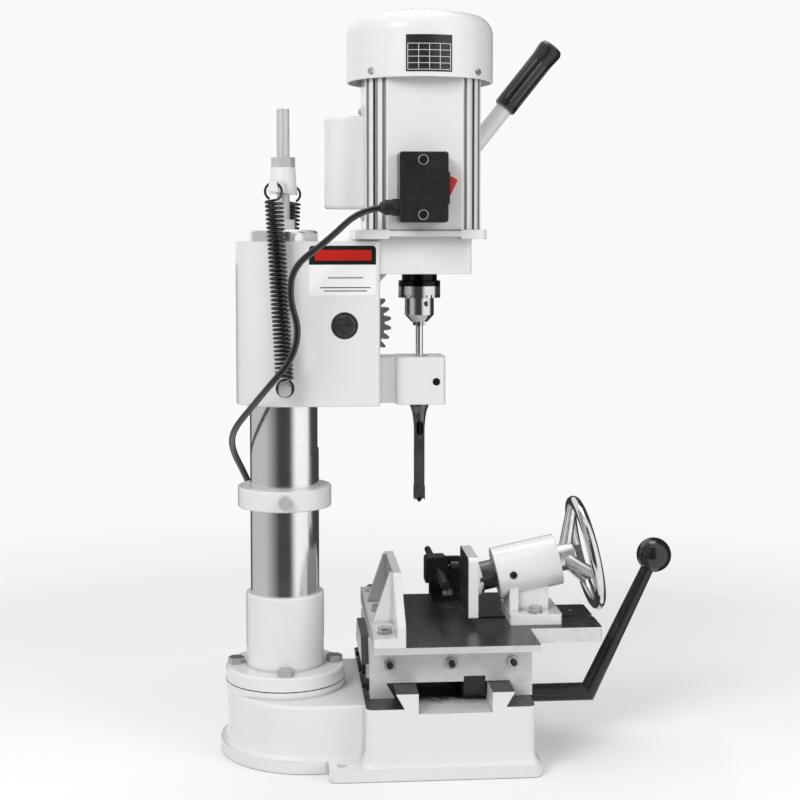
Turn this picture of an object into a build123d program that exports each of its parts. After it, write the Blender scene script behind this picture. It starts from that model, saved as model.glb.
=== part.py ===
from build123d import *
import math
import os

os.makedirs("parts", exist_ok=True)

# Driving dimensions in mm. The origin is midway between the two bench bolts, on the underside of the base.
# +X runs from the column to the handwheel, +Y to the back, +Z up.

# Clearances
FIT = 0.05           # radial, pins and shafts in their holes
RUN = 0.08           # between faces that slide on each other
LASH = 0.15          # taken off each gear and rack tooth
APART = 0.5          # beside parts that turn or travel past each other
HANG = 0.5           # between a spring's loops and what they hang on

# Fasteners, thread radii
M10_R = 5.0
M10_AF = 16.0
M10_HEAD = 7.0
M8_R = 4.0
M8_AF = 13.0
M8_HEAD = 5.5
M8_WASHER_R = 8.5
M7_R = 3.5
M6_R = 3.0
M4_R = 2.0
WASHER_T = 1.5

# Base casting
FOOT_T = 13.0
FOOT_R = 100.0
ROUND_X = -30.0      # centre of the round end, along X
FOOT_X0 = -14.0
FOOT_X1 = 211.0
FOOT_Y = 128.0
BODY_R = 92.0
BODY_TOP = 70.0
PAD_T = 8.0
WALL = 9.0
BLOCK_X0 = 25.0
BLOCK_X1 = 204.0
BLOCK_Y = 122.0
SHOULDER_Z = 74.5
BENCH_Y = 112.0
BENCH_HOLE_R = 5.5
FLARE_OUT = 5.0      # the walls' spread where they meet the foot
FLARE_H = 12.0

# Lower slide, along Y
SLIDE_X = 119.0
DOVE_H = 16.0
DOVE_HALF = 63.0
CHANNEL_HALF = 39.0
CHANNEL_Z = 69.0
GIB_T = 6.0
SADDLE_W = 175.0
SADDLE_D = 166.0
SADDLE_ROOF = 91.2
GIB_SCREW_Z = 84.0
GIB_SCREW_Y = 62.0
DOVE_ANGLE = 60.0

# Upper slide, along X
BAR_Z = 104.0
BAR_HALF = 54.0
BAR_OUT = 9.0        # the bar's left end beyond the plate
FRONT_SCREW_Z = 112.0
FRONT_SCREW_X = 66.7
LOCK_NUT_AF = 12.0
LOCK_NUT_H = 4.5
LOCK_STAND = 8.0

# Column, its socket and its rack
COLUMN_X = -58.0
COLUMN_R = 38.0
COLUMN_TOP = 575.6
FLANGE_R = 66.0
FLANGE_T = 15.5
SOCKET_R = 43.2
SOCKET_TOP = 174.5
SOCKET_BOLT_R = 54.5
RACK_W = 22.0
RACK_Z0 = 334.0
RACK_Z1 = 530.0
RACK_BACK = 5.0

# Stop collar
COLLAR_R = 51.7
COLLAR_Z = 270.6
COLLAR_H = 22.6
COLLAR_SCREW_AF = 12.5

# Spring rod, hanger and springs
ROD_R = 7.0
ROD_TOP = 707.0
ROD_IN = 32.0
ROD_NUT_AF = 23.0
ROD_NUT_H = 11.0
HANGER_Z = 614.5
HANGER_H = 29.0
HANGER_R0 = 15.3
HANGER_R1 = 13.4
HANGER_TURN = 9.4
HANGER_REACH = 63.0
SPRING_R = 8.8
SPRING_WIRE = 2.8
SPRING_TURNS = 42
SPRING_TOP = 606.0
SPRING_BOTTOM = 417.0
SPRING_LOW_Y = 66.0
SPRING_BOLT_R = 5.0

# Head casting
HEAD_R = 52.5
HEAD_Z0 = 385.5
HEAD_Z1 = 563.0
HEAD_X1 = 45.0
ARM_Z0 = 527.7
ARM_Z1 = 565.5
ARM_X1 = 144.6
ARM_Y = 48.0
HOLDER_HALF = 27.0
HOLDER_Z0 = 384.0
HOLDER_Z1 = 436.0
NECK_Y = 20.0
CLAMP_HEAD_R = 4.2
CLAMP_HEAD_H = 4.0

# Feed pinion and handle
PINION_X = 6.5
PINION_Z = 472.6
FEED_M = 3.25
FEED_TEETH = 31
FEED_FACE = 20.0
SHAFT_R = 11.2
BUSH_R = 14.5
HANDLE_Y = 102.0
HANDLE_ANGLE = 51.5
HANDLE_TUBE_R = 10.0
HANDLE_LENGTH = 405.0
GRIP_LENGTH = 92.0
GRIP_R = 13.4
HUB_R = 19.0

# Motor
SPINDLE_X = 92.0
SHIELD_T = 10.0
SHIELD_X0 = 17.5
SHIELD_X1 = 159.0
SHIELD_Y = 67.0
MOTOR_HALF = 62.5
MOTOR_R = 74.0
MOTOR_H = 162.3
CAP_R = 80.5
CAP_H = 78.2
CAP_LAP = 2.0        # how far the cap comes down over the housing
CAP_WALL = 2.0
CAP_ROUND = 21.0
CAP_SCREW_R = 4.2
CAP_DOME = 6.0
CAP_FLAT = 14.0
TIE_AT = 50.0
TIE_R = 2.5
TIE_CHANNEL_R = 4.2
FLUTE_R = 2.3
FLUTE_TURN = 9.0
STATOR_R = 55.0
ROTOR_R = 34.0
MOTOR_SHAFT_R = 8.5
BEARING_R = 20.0
BEARING_H = 14.0
BEARING_SINK = 9.0   # how far the lower bearing goes down into the arm
MOTOR_BOLT_AT = 33.0
UPPER_T = 13.0
ROTOR_LOW = 36.5     # above the lower shield
ROTOR_HIGH = 35.8    # below the upper shield
AIR_GAP = 0.6
FAN_R = 56.0
FAN_H = 26.0
FAN_BLADES = 7
VENT_SLOTS = 24
CAPCOVER_X0 = -13.0
CAPCOVER_Y = 26.0
CAPCOVER_Z0 = 598.0
CAPCOVER_Z1 = 698.5
CAPCOVER_T = 2.0
CAPCOVER_TAB = 14.0
CAPACITOR_R = 17.0

# Switch box
BOX_X0 = 62.0
BOX_X1 = 113.2
BOX_Y = 98.0
BOX_Z0 = 583.0
BOX_Z1 = 656.7
BOX_WALL = 2.5
LID_T = 5.0
LID_SINK = 2.6
ROCKER_Z = 619.5
ROCKER_R = 12.0
ROCKER_TILT = 26.0
ROCKER_FACE = 5.2    # from the pivot to the pressed face
ROCKER_OUT = 1.2     # the pivot beyond the box's side
ROCKER_W = 15.0
GLAND_Y = 82.0
GLAND_Z = 598.8

# Chuck, auger and chisel
SLEEVE_R = 23.2
SLEEVE_Z0 = 500.6
SLEEVE_Z1 = 520.0
CHUCK_R = 16.2
CHUCK_TOP = 526.5
CHUCK_Z0 = 481.6
CHUCK_NOSE = 473.8
AUGER_R = 4.0
AUGER_TIP = 271.5
CHISEL_SHANK_R = 9.5
CHISEL_FLARE_R = 10.4
CHISEL_SIDE = 11.0
CHISEL_CUT = 12.0
CHISEL_TIP = 274.5

# Table, fence, vise and length stop
TABLE_TOP = 138.6
PLATE_T = 7.0
PLATE_X0 = 33.0
PLATE_X1 = 210.0
PLATE_Y = 118.5
TONGUE_X1 = 290.0
TONGUE_Y = 52.0
TONGUE_T = 16.5
TONGUE_HOLE_X = 269.0
TONGUE_HOLE_Y = 26.0
TABLE_BACK = 25.0    # how far the table can travel towards the column
FENCE_W = 34.0
FENCE_T = 10.0
FENCE_WALL = 9.0
FENCE_H = 66.0
FENCE_TOP_Y = 56.0
FENCE_LIP = 22.0
FENCE_BOLT_IN = 13.0
FENCE_BOLT_Y = 95.0
VISE_X = 178.0       # where the vise axis meets the barrel's left end
VISE_Z = 189.4
VISE_TILT = 12.0
BARREL_R = 28.5
BARREL_L = 72.0
VISE_FOOT_X0 = 190.0
VISE_FOOT_X1 = 248.0
VISE_FOOT_Y = 38.0
VISE_FOOT_T = 12.0
QUILL_R = 16.0
QUILL_SLOT = 64.0
JAW_X0 = 143.0
JAW_T = 11.0
JAW_Y = 38.0
JAW_Z0 = 148.0
JAW_Z1 = 214.5
JAW_BACK = 8.0       # how far the jaw can be drawn back
BARREL_END = 14.0    # the barrel's closed end
SCREW_COLLAR = 4.0
VISE_SCREW_R = 6.0
WHEEL_R = 65.0
WHEEL_RIM_R = 6.5
WHEEL_AT = 105.0     # from the barrel's left end to the rim, along the axis
WHEEL_TURN = 75.0
SPOKES = 3
SPOKE_R0 = 7.5
SPOKE_R1 = 5.5
STOP_X = 122.0
STOP_Z = 175.5
STOP_ROD_R = 4.0
STOP_NOSE_R = 5.5
STOP_Y0 = 0.0
STOP_Y1 = 200.0
STOP_BLOCK_Y0 = 84.0
STOP_BLOCK_Y1 = 110.0
STOP_FOOT_T = 6.0

# Cross-feed lever
LEVER_Z = 51.0
LEVER_M = 2.5
LEVER_TEETH = 18
LEVER_FACE = 20.0
LEVER_RACK_X = 144.0
LEVER_RACK_W = 23.6
LEVER_RACK_TOP = 97.0
LEVER_R = 10.0
LEVER_END_X = 285.0
LEVER_ARM_R = 7.2
BALL_R = 19.5
BALL_X = 360.0
BALL_Z = 207.0

# Cord
CORD_R = 3.5
COIL_PITCH = 7.7
COIL_R = 46.0
COIL_X = 82.0
COIL_Y = 192.0
PLUG_AT = 30.0
PLUG_NECK = 26.0
PLUG_BODY = 40.0
PLUG_HALF = 14.0
PLUG_PIN = 17.0


def box(x0, x1, y0, y1, z0, z1):
    return Pos((x0 + x1) / 2, (y0 + y1) / 2, (z0 + z1) / 2) * Box(x1 - x0, y1 - y0, z1 - z0)


def rod(r, start, end):
    a = Vector(start)
    b = Vector(end)
    along = b - a
    plane = Plane(origin=a, z_dir=along.normalized())
    return plane * Cylinder(r, along.length, align=(Align.CENTER, Align.CENTER, Align.MIN))


def ring(r_out, r_in, start, end):
    return rod(r_out, start, end) - rod(r_in, start, end)


def taper_rod(r0, r1, start, end):
    a = Vector(start)
    along = Vector(end) - a
    plane = Plane(origin=a, z_dir=along.normalized())
    return plane * Cone(r0, r1, along.length, align=(Align.CENTER, Align.CENTER, Align.MIN))


def hexagon(flats, start, end, turn=0.0):
    a = Vector(start)
    along = Vector(end) - a
    plane = Plane(origin=a, z_dir=along.normalized())
    face = plane * RegularPolygon(flats / 2, 6, major_radius=False, rotation=turn)
    return extrude(face, amount=along.length, dir=along.normalized())


def plate_y(points, y0, y1):
    plane = Plane(origin=(0, y1, 0), x_dir=(1, 0, 0), z_dir=(0, -1, 0))
    return extrude(plane * make_face(Polyline(*points, close=True)), amount=y1 - y0)


def plate_x(points, x0, x1):
    plane = Plane(origin=(x0, 0, 0), x_dir=(0, 1, 0), z_dir=(1, 0, 0))
    return extrude(plane * make_face(Polyline(*points, close=True)), amount=x1 - x0)


def turned(points, x, y=0.0):
    plane = Plane(origin=(x, y, 0), x_dir=(1, 0, 0), z_dir=(0, -1, 0))
    face = plane * make_face(Polyline(*points, close=True))
    return revolve(face, axis=Axis((x, y, 0), (0, 0, 1)))


def upright(shape, radius):
    return fillet(shape.edges().filter_by(Axis.Z), radius)


def bolt(r, flats, head, start, end):
    # a hex bolt whose head stands on start and whose shank ends at end
    a = Vector(start)
    out = (a - Vector(end)).normalized()
    return rod(r, end, start) + hexagon(flats, a, a + out * head)


def socket_screw(r, head_r, head, start, end):
    a = Vector(start)
    out = (a - Vector(end)).normalized()
    cap = rod(head_r, a, a + out * head)
    cap -= hexagon(r * 1.6, a + out * (head * 0.4), a + out * head)
    return rod(r, end, start) + cap


def slotted(r, head_r, head, start, end, across):
    a = Vector(start)
    out = (a - Vector(end)).normalized()
    side = Vector(across)
    cap = rod(head_r, a, a + out * head)
    mid = a + out * head
    cut = Plane(origin=mid, x_dir=side, z_dir=out) * Box(head_r * 2, head_r * 0.28, head)
    return rod(r, end, start) + (cap - cut)


def gear_points(m, teeth, phase, lash):
    pressure = math.radians(20)
    pitch_r = m * teeth / 2
    base_r = pitch_r * math.cos(pressure)
    root_r = pitch_r - 1.25 * m
    tip_r = pitch_r + m
    inv_p = math.tan(pressure) - pressure
    radii = [base_r + (tip_r - base_r) * k / 4 for k in range(5)]
    points = []
    for n in range(teeth):
        mid = phase + 2 * math.pi * n / teeth
        side = []
        for r in radii:
            alpha = math.acos(min(1.0, base_r / r))
            half = math.pi / (2 * teeth) - lash / (2 * pitch_r) + inv_p - (math.tan(alpha) - alpha)
            side.append((r, half))
        flank = [(root_r, side[0][1])] + side
        for r, half in flank:
            points.append((r * math.cos(mid - half), r * math.sin(mid - half)))
        for r, half in reversed(flank):
            points.append((r * math.cos(mid + half), r * math.sin(mid + half)))
    return points


def rack_points(m, low, high, middle, lash):
    # (along, height) corners of the teeth above the pitch line; a tooth space is centred on middle
    pressure = math.radians(20)
    pitch = math.pi * m
    at_pitch = pitch / 4 - lash / 2
    root = at_pitch + 1.25 * m * math.tan(pressure)
    tip = at_pitch - m * math.tan(pressure)
    first = math.ceil((low + root - middle) / pitch - 0.5)
    last = math.floor((high - root - middle) / pitch - 0.5)
    points = []
    for n in range(first, last + 1):
        c = middle + (n + 0.5) * pitch
        points += [(c - root, -1.25 * m), (c - tip, m), (c + tip, m), (c + root, -1.25 * m)]
    return points


def biarc(p0, t0, p1, t1):
    v = p1 - p0
    t = t0 + t1
    k = 2 * (1 - t0.dot(t1))
    vt = v.dot(t)
    d = (math.sqrt(vt * vt + k * v.dot(v)) - vt) / k
    mid = (p0 + t0 * d + p1 - t1 * d) * 0.5
    first = Edge.make_tangent_arc(p0, t0, mid)
    return [first, Edge.make_tangent_arc(mid, first.tangent_at(1), p1)]


def tube(edges, radius):
    start = edges[0]
    plane = Plane(origin=start.position_at(0), z_dir=start.tangent_at(0))
    return sweep(plane * Circle(radius), path=Wire(edges))


def least_gap(edges, radius, apart):
    # least distance of the tube to itself, between points more than apart along it
    points = []
    at = 0.0
    for edge in edges:
        n = max(2, int(edge.length / 1.5))
        for k in range(n):
            p = edge.position_at(k / n)
            points.append((at + edge.length * k / n, p.X, p.Y, p.Z))
        at += edge.length
    least = 1e9
    for i, a in enumerate(points):
        for b in points[i + 1:]:
            if b[0] - a[0] > apart:
                if abs(a[3] - b[3]) < least:
                    least = min(least, math.dist(a[1:], b[1:]))
    return least - 2 * radius


def cord_edges(points):
    legs = [(Vector(b) - Vector(a)) for a, b in zip(points, points[1:])]
    radii = []
    for a, b in zip(legs, legs[1:]):
        turn = math.radians(a.get_angle(b))
        radii.append(0.45 * min(a.length, b.length) / math.tan(turn / 2))
    return FilletPolyline(*points, radius=radii).edges(), radii


# Derived places
DOVE_IN = DOVE_H / math.tan(math.radians(DOVE_ANGLE))
DOVE_TOP = SHOULDER_Z + DOVE_H
PAD_TOP = BODY_TOP + PAD_T
FLANGE_TOP = PAD_TOP + FLANGE_T
FEED_R = FEED_M * FEED_TEETH / 2
RACK_X = PINION_X - FEED_R
LEVER_PITCH_R = LEVER_M * LEVER_TEETH / 2
PLATE_Z = TABLE_TOP - PLATE_T
VISE_BOLT_Z = TABLE_TOP - 12
MOTOR_Z0 = ARM_Z1 + SHIELD_T
HOLDER_X1 = SPINDLE_X + HOLDER_HALF
VISE_DIR = Vector(math.cos(math.radians(VISE_TILT)), 0, math.sin(math.radians(VISE_TILT)))
VISE_START = Vector(VISE_X, 0, VISE_Z)
HANDLE_DIR = Vector(math.cos(math.radians(HANDLE_ANGLE)), 0, math.sin(math.radians(HANDLE_ANGLE)))
HANDLE_START = Vector(PINION_X, HANDLE_Y, PINION_Z)
HANGER_DIR = Vector(-math.sin(math.radians(HANGER_TURN)), -math.cos(math.radians(HANGER_TURN)), 0)
SPRING_BOLT_Z = SPRING_BOTTOM - SPRING_R - 1 - (SPRING_R - SPRING_WIRE / 2) + SPRING_BOLT_R + HANG
LOOP_Z = SPRING_TOP + SPRING_R + 1
UPPER_Z0 = MOTOR_Z0 + MOTOR_H
CAP_Z0 = UPPER_Z0 - CAP_LAP
CAP_TOP = CAP_Z0 + CAP_H
ROTOR_Z0 = MOTOR_Z0 + ROTOR_LOW
ROTOR_Z1 = UPPER_Z0 - ROTOR_HIGH
UPPER_Z1 = UPPER_Z0 + UPPER_T
BEARING_LOW = ARM_Z1 - BEARING_SINK
FAN_Z0 = UPPER_Z1 + 6
MOTOR_BOLT_Z = ARM_Z1 - 21
FAN_Z1 = FAN_Z0 + FAN_H
MOTOR_X0 = SPINDLE_X - MOTOR_HALF
SADDLE_TOP = PLATE_Z - RUN
SLANT = math.tan(math.radians(DOVE_ANGLE))
SIDE_RUN = RUN / math.sin(math.radians(DOVE_ANGLE))
GIB_SIDE = GIB_T / math.sin(math.radians(DOVE_ANGLE))
SADDLE_X0 = SLIDE_X - SADDLE_W / 2
SADDLE_X1 = SLIDE_X + SADDLE_W / 2
nodes = {}


def on_vise(s):
    return VISE_START + VISE_DIR * s


def dovetail(x0, x1, z0, z1, inset):
    return [(x0 + inset, z0), (x1 - inset, z0), (x1, z1), (x0, z1)]


def flare(z0, z1, out0, out1):
    # the spread of the round end, of the straight sides behind it and of the block
    part = taper_rod(BODY_R + out0, BODY_R + out1, (ROUND_X, 0, z0), (ROUND_X, 0, z1))
    side = (ROUND_X + BLOCK_X0 + WALL) / 2
    middle = (BLOCK_X0 + BLOCK_X1) / 2
    sides = []
    blocks = []
    for z, out in ((z0, out0), (z1, out1)):
        level = Plane.XY.offset(z)
        sides.append(level * (Pos(side, 0) * Rectangle(BLOCK_X0 + WALL - ROUND_X, 2 * (BODY_R + out))))
        outline = RectangleRounded(BLOCK_X1 - BLOCK_X0 + 2 * out, 2 * (BLOCK_Y + out), 8 + out)
        blocks.append(level * (Pos(middle, 0) * outline))
    return part + loft(sides) + loft(blocks)


def base_casting():
    foot = Pos(ROUND_X, 0, 0) * Cylinder(FOOT_R, FOOT_T, align=(Align.CENTER, Align.CENTER, Align.MIN))
    foot += upright(box(FOOT_X0, FOOT_X1, -FOOT_Y, FOOT_Y, 0, FOOT_T), 9)
    body = rod(BODY_R, (ROUND_X, 0, 0), (ROUND_X, 0, BODY_TOP))
    body += box(ROUND_X, BLOCK_X0 + WALL, -BODY_R, BODY_R, 0, BODY_TOP)
    body = fillet(body.edges().group_by(Axis.Z)[-1], 4)
    block = upright(box(BLOCK_X0, BLOCK_X1, -BLOCK_Y, BLOCK_Y, 0, SHOULDER_Z), 8)
    tail = dovetail(SLIDE_X - DOVE_HALF, SLIDE_X + DOVE_HALF, SHOULDER_Z - 0.01, DOVE_TOP, DOVE_IN)
    part = foot + body + block + plate_y(tail, -BLOCK_Y, BLOCK_Y)
    knee = FOOT_T + FLARE_H / 3
    part += flare(FOOT_T, knee, FLARE_OUT, FLARE_OUT * 0.4)
    part += flare(knee, FOOT_T + FLARE_H, FLARE_OUT * 0.4, 0)
    part += rod(FLANGE_R, (COLUMN_X, 0, BODY_TOP - 5), (COLUMN_X, 0, PAD_TOP))
    part -= box(SLIDE_X - CHANNEL_HALF, SLIDE_X + CHANNEL_HALF, -BLOCK_Y, BLOCK_Y, CHANNEL_Z, DOVE_TOP + 1)
    roof = BODY_TOP - WALL
    part -= rod(BODY_R - WALL, (ROUND_X, 0, -1), (ROUND_X, 0, roof))
    part -= box(ROUND_X, BLOCK_X0 + WALL, WALL - BODY_R, BODY_R - WALL, -1, roof)
    part -= box(BLOCK_X0 + WALL, BLOCK_X1 - WALL, WALL - BLOCK_Y, BLOCK_Y - WALL, -1, roof)
    # bearing wall for the lever shaft, and the window where its pinion reaches the rack bar
    wall_x = LEVER_RACK_X - LEVER_FACE / 2 - 4 - WALL
    part += box(wall_x, wall_x + WALL, -LEVER_R * 2.2, LEVER_R * 2.2, LEVER_Z - LEVER_R * 2, roof + 1)
    reach = LEVER_PITCH_R + LEVER_M + 2
    half = LEVER_FACE / 2 + 2
    part -= box(LEVER_RACK_X - half, LEVER_RACK_X + half, -reach, reach, roof - 1, CHANNEL_Z + 1)
    part -= rod(LEVER_R + FIT, (wall_x - 1, 0, LEVER_Z), (BLOCK_X1 + 1, 0, LEVER_Z))
    for y in (-BENCH_Y, BENCH_Y):
        part -= rod(BENCH_HOLE_R, (0, y, -1), (0, y, FOOT_T + 1))
    for x, y in socket_bolt_places():
        part -= rod(M10_R + FIT, (x, y, roof - 1), (x, y, PAD_TOP + 1))
    return part


def socket_bolt_places():
    r = SOCKET_BOLT_R
    return [(COLUMN_X + r, 0), (COLUMN_X - r, 0), (COLUMN_X, r), (COLUMN_X, -r)]


def column_socket():
    flange = rod(FLANGE_R, (COLUMN_X, 0, PAD_TOP), (COLUMN_X, 0, FLANGE_TOP))
    flange = fillet(flange.edges().group_by(Axis.Z)[-1], 3)
    sleeve = rod(SOCKET_R, (COLUMN_X, 0, PAD_TOP), (COLUMN_X, 0, SOCKET_TOP))
    sleeve = fillet(sleeve.edges().group_by(Axis.Z)[-1], 2)
    part = flange + sleeve
    part -= rod(COLUMN_R + FIT, (COLUMN_X, 0, 0), (COLUMN_X, 0, SOCKET_TOP + 1))
    for x, y in socket_bolt_places():
        part -= rod(M10_R + FIT, (x, y, 0), (x, y, FLANGE_TOP + 1))
    return part


def socket_bolts():
    group = []
    for x, y in socket_bolt_places():
        group.append(bolt(M10_R, M10_AF, M10_HEAD, (x, y, FLANGE_TOP), (x, y, BODY_TOP - WALL)))
    return group


def column():
    part = rod(COLUMN_R, (COLUMN_X, 0, PAD_TOP), (COLUMN_X, 0, COLUMN_TOP))
    part = fillet(part.edges().group_by(Axis.Z)[-1], 4)
    part -= box(COLUMN_X + RACK_BACK, COLUMN_X + COLUMN_R + 1, -RACK_W / 2, RACK_W / 2, RACK_Z0, RACK_Z1)
    part -= rod(ROD_R + FIT, (COLUMN_X, 0, COLUMN_TOP - ROD_IN), (COLUMN_X, 0, COLUMN_TOP + 1))
    return part


def column_rack():
    teeth = rack_points(FEED_M, RACK_Z0, RACK_Z1, PINION_Z, LASH)
    root = RACK_X - 1.25 * FEED_M
    points = [(COLUMN_X + RACK_BACK, RACK_Z0), (root, RACK_Z0)]
    points += [(RACK_X + h, z) for z, h in teeth]
    points += [(root, RACK_Z1), (COLUMN_X + RACK_BACK, RACK_Z1)]
    half = RACK_W / 2 - FIT
    return plate_y(points, -half, half)


def spring_hanger():
    top = HANGER_Z + HANGER_H
    part = taper_rod(HANGER_R0, HANGER_R1, (COLUMN_X, 0, HANGER_Z), (COLUMN_X, 0, top))
    inner = SPRING_R - SPRING_WIRE / 2 - HANG
    groove = SPRING_WIRE + 2.4
    for side in (1, -1):
        d = HANGER_DIR * side
        plane = Plane(origin=(COLUMN_X, 0, HANGER_Z), x_dir=d.cross(Vector(0, 0, 1)), z_dir=d)
        up = plane.y_dir.Z
        outline = [(-6, 0.5 * up), (6, 0.5 * up), (3.5, 12.5 * up), (-3.5, 12.5 * up)]
        face = make_face(Polyline(*outline, close=True))
        arm = extrude(plane * face, amount=HANGER_REACH + groove / 2 + 4)
        a = Vector(COLUMN_X, 0, LOOP_Z) + d * (HANGER_REACH - groove / 2)
        arm -= ring(inner * 3, inner, a, a + d * groove)
        part += arm
    return part - rod(ROD_R + FIT, (COLUMN_X, 0, HANGER_Z - 9), (COLUMN_X, 0, top + 1))


def spring_edges(side):
    top = Vector(COLUMN_X, 0, SPRING_TOP) + HANGER_DIR * (side * HANGER_REACH)
    low = Vector(COLUMN_X, -side * SPRING_LOW_Y, SPRING_BOTTOM)
    up = (top - low).normalized()
    out = Vector(0, -side, 0)
    e2 = (out - up * out.dot(up)).normalized()
    e1 = e2.cross(up)
    pitch = (top - low).length / SPRING_TURNS
    r = SPRING_R
    slope = math.hypot(r, pitch / (2 * math.pi))

    def coil(turn):
        phi = math.pi / 2 - 2 * math.pi * turn
        radial = e1 * math.cos(phi) + e2 * math.sin(phi)
        flow = e1 * math.sin(phi) - e2 * math.cos(phi)
        point = top - up * (pitch * turn) + radial * r
        return point, (flow * r - up * (pitch / (2 * math.pi))) * (1 / slope)

    def loop(centre, beta):
        c = math.cos(math.radians(beta))
        s = math.sin(math.radians(beta))
        return centre + (e1 * c + up * s) * r, up * c - e1 * s

    high_c = top + up * (r + 1)
    low_c = low - up * (r + 1)
    start, flow = loop(high_c, -60)
    mid, flow_mid = loop(high_c, 60)
    end, flow_end = loop(high_c, 180)
    edges = [Edge.make_tangent_arc(start, flow, mid), Edge.make_tangent_arc(mid, flow_mid, end)]
    edges += biarc(end, flow_end, *coil(0))
    for n in range(2 * SPRING_TURNS):
        edges += biarc(*coil(n / 2), *coil(n / 2 + 0.5))
    low_a, flow_a = loop(low_c, 0)
    low_b, flow_b = loop(low_c, -120)
    low_e, flow_e = loop(low_c, -240)
    edges += biarc(*coil(SPRING_TURNS), low_a, flow_a * -1)
    edges.append(Edge.make_tangent_arc(low_a, flow_a * -1, low_b))
    edges.append(Edge.make_tangent_arc(low_b, flow_b * -1, low_e))
    return edges


def spring_bolts():
    group = []
    for side in (1, -1):
        face = -side * (HEAD_R - 1)
        loop = -side * (SPRING_LOW_Y - SPRING_WIRE / 2 - 0.6)
        outer = -side * (SPRING_LOW_Y + SPRING_WIRE / 2 + 1.2)
        x = COLUMN_X
        z = SPRING_BOLT_Z
        part = rod(SPRING_BOLT_R, (x, -side * (HEAD_R - 13), z), (x, outer, z))
        part += rod(SPRING_BOLT_R + 3.5, (x, face, z), (x, loop, z))
        part += rod(SPRING_BOLT_R + 2.2, (x, outer, z), (x, outer - side * 1.6, z))
        part += hexagon(12, (x, outer - side * 1.6, z), (x, outer - side * 7, z))
        group.append(part)
    return group


def head_casting():
    part = rod(HEAD_R, (COLUMN_X, 0, HEAD_Z0), (COLUMN_X, 0, HEAD_Z1))
    trunk = box(COLUMN_X, HEAD_X1, -HEAD_R, HEAD_R, HEAD_Z0, HEAD_Z1)
    right = trunk.edges().filter_by(Axis.Z).group_by(Axis.X)[-1]
    part += fillet(right, 5)
    arm = box(HEAD_X1 - 30, ARM_X1, -ARM_Y, ARM_Y, ARM_Z0, ARM_Z1)
    part += fillet(arm.edges().filter_by(Axis.Z).group_by(Axis.X)[-1], 6)
    part += box(HEAD_X1 - 5, SPINDLE_X, -NECK_Y, NECK_Y, HEAD_Z0, HOLDER_Z1)
    holder = box(SPINDLE_X - HOLDER_HALF, HOLDER_X1, -HOLDER_HALF, HOLDER_HALF, HOLDER_Z0, HOLDER_Z1)
    part += upright(holder, 7)
    gusset = [(HEAD_X1 - 1, ARM_Z0 + 1), (HEAD_X1 + 10, ARM_Z0 + 1), (HEAD_X1 - 1, ARM_Z0 - 11)]
    for y in (-ARM_Y + 16, ARM_Y - 24):
        part += plate_y(gusset, y, y + 8)
    part -= rod(COLUMN_R + RUN, (COLUMN_X, 0, HEAD_Z0 - 1), (COLUMN_X, 0, HEAD_Z1 + 9))
    pocket = FEED_R + FEED_M + 2.5
    half = FEED_FACE / 2 + 2
    part -= rod(pocket, (PINION_X, -half, PINION_Z), (PINION_X, half, PINION_Z))
    part -= rod(BUSH_R + FIT, (PINION_X, -HEAD_R - 1, PINION_Z), (PINION_X, HEAD_R + 1, PINION_Z))
    for side in (1, -1):
        x = COLUMN_X
        z = SPRING_BOLT_Z
        face = -side * (HEAD_R - 1)
        part -= rod(SPRING_BOLT_R + FIT, (x, -side * (HEAD_R - 13), z), (x, face - side * 9, z))
        part -= rod(SPRING_BOLT_R + 3.5 + FIT, (x, face, z), (x, face - side * 9, z))
    part -= rod(BEARING_R + 6, (SPINDLE_X, 0, ARM_Z0 - 1), (SPINDLE_X, 0, ARM_Z1 + 1))
    part -= rod(CHISEL_SHANK_R + FIT, (SPINDLE_X, 0, HOLDER_Z0 - 1), (SPINDLE_X, 0, HOLDER_Z1 + 1))
    part -= box(SPINDLE_X, HOLDER_X1 + 1, -1, 1, HOLDER_Z0 - 1, HOLDER_Z1 + 1)
    a, b, c = clamp_places()
    part -= rod(M6_R + FIT, c + Vector(0, FIT, 0), a)
    part -= rod(CLAMP_HEAD_R + FIT, b, a)
    for x, y in motor_bolt_places():
        part -= rod(M8_R + FIT, (x, y, MOTOR_BOLT_Z - 1), (x, y, ARM_Z1 + 1))
    return part


def clamp_places():
    x = SPINDLE_X + CHISEL_SHANK_R + 6.8
    z = HOLDER_Z1 - 27
    head = CLAMP_HEAD_H + 0.5
    return Vector(x, -HOLDER_HALF, z), Vector(x, head - HOLDER_HALF, z), Vector(x, HOLDER_HALF - 9, z)


def motor_bolt_places():
    at = MOTOR_BOLT_AT
    return [(SPINDLE_X + x, y) for x in (-at, at) for y in (-at, at)]


def chisel_clamp():
    a, b, c = clamp_places()
    return socket_screw(M6_R, CLAMP_HEAD_R, CLAMP_HEAD_H, b, c)


def shaft_bushes():
    half = FEED_FACE / 2 + 2
    x = PINION_X
    z = PINION_Z
    front = ring(BUSH_R, SHAFT_R + FIT, (x, -HEAD_R, z), (x, -half, z))
    back = ring(BUSH_R, SHAFT_R + FIT, (x, half, z), (x, HEAD_R, z))
    return [front, back]


def pinion_shaft():
    start = -HEAD_R - 1.5
    part = rod(SHAFT_R, (PINION_X, start, PINION_Z), (PINION_X, HANDLE_Y + HUB_R - 3, PINION_Z))
    part = chamfer(part.edges().group_by(Axis.Y)[0], 0.8)
    x = PINION_X
    z = PINION_Z
    return part - box(x - SHAFT_R, x + SHAFT_R, start, start + 1.2, z - 1.2, z + 1.2)


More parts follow.
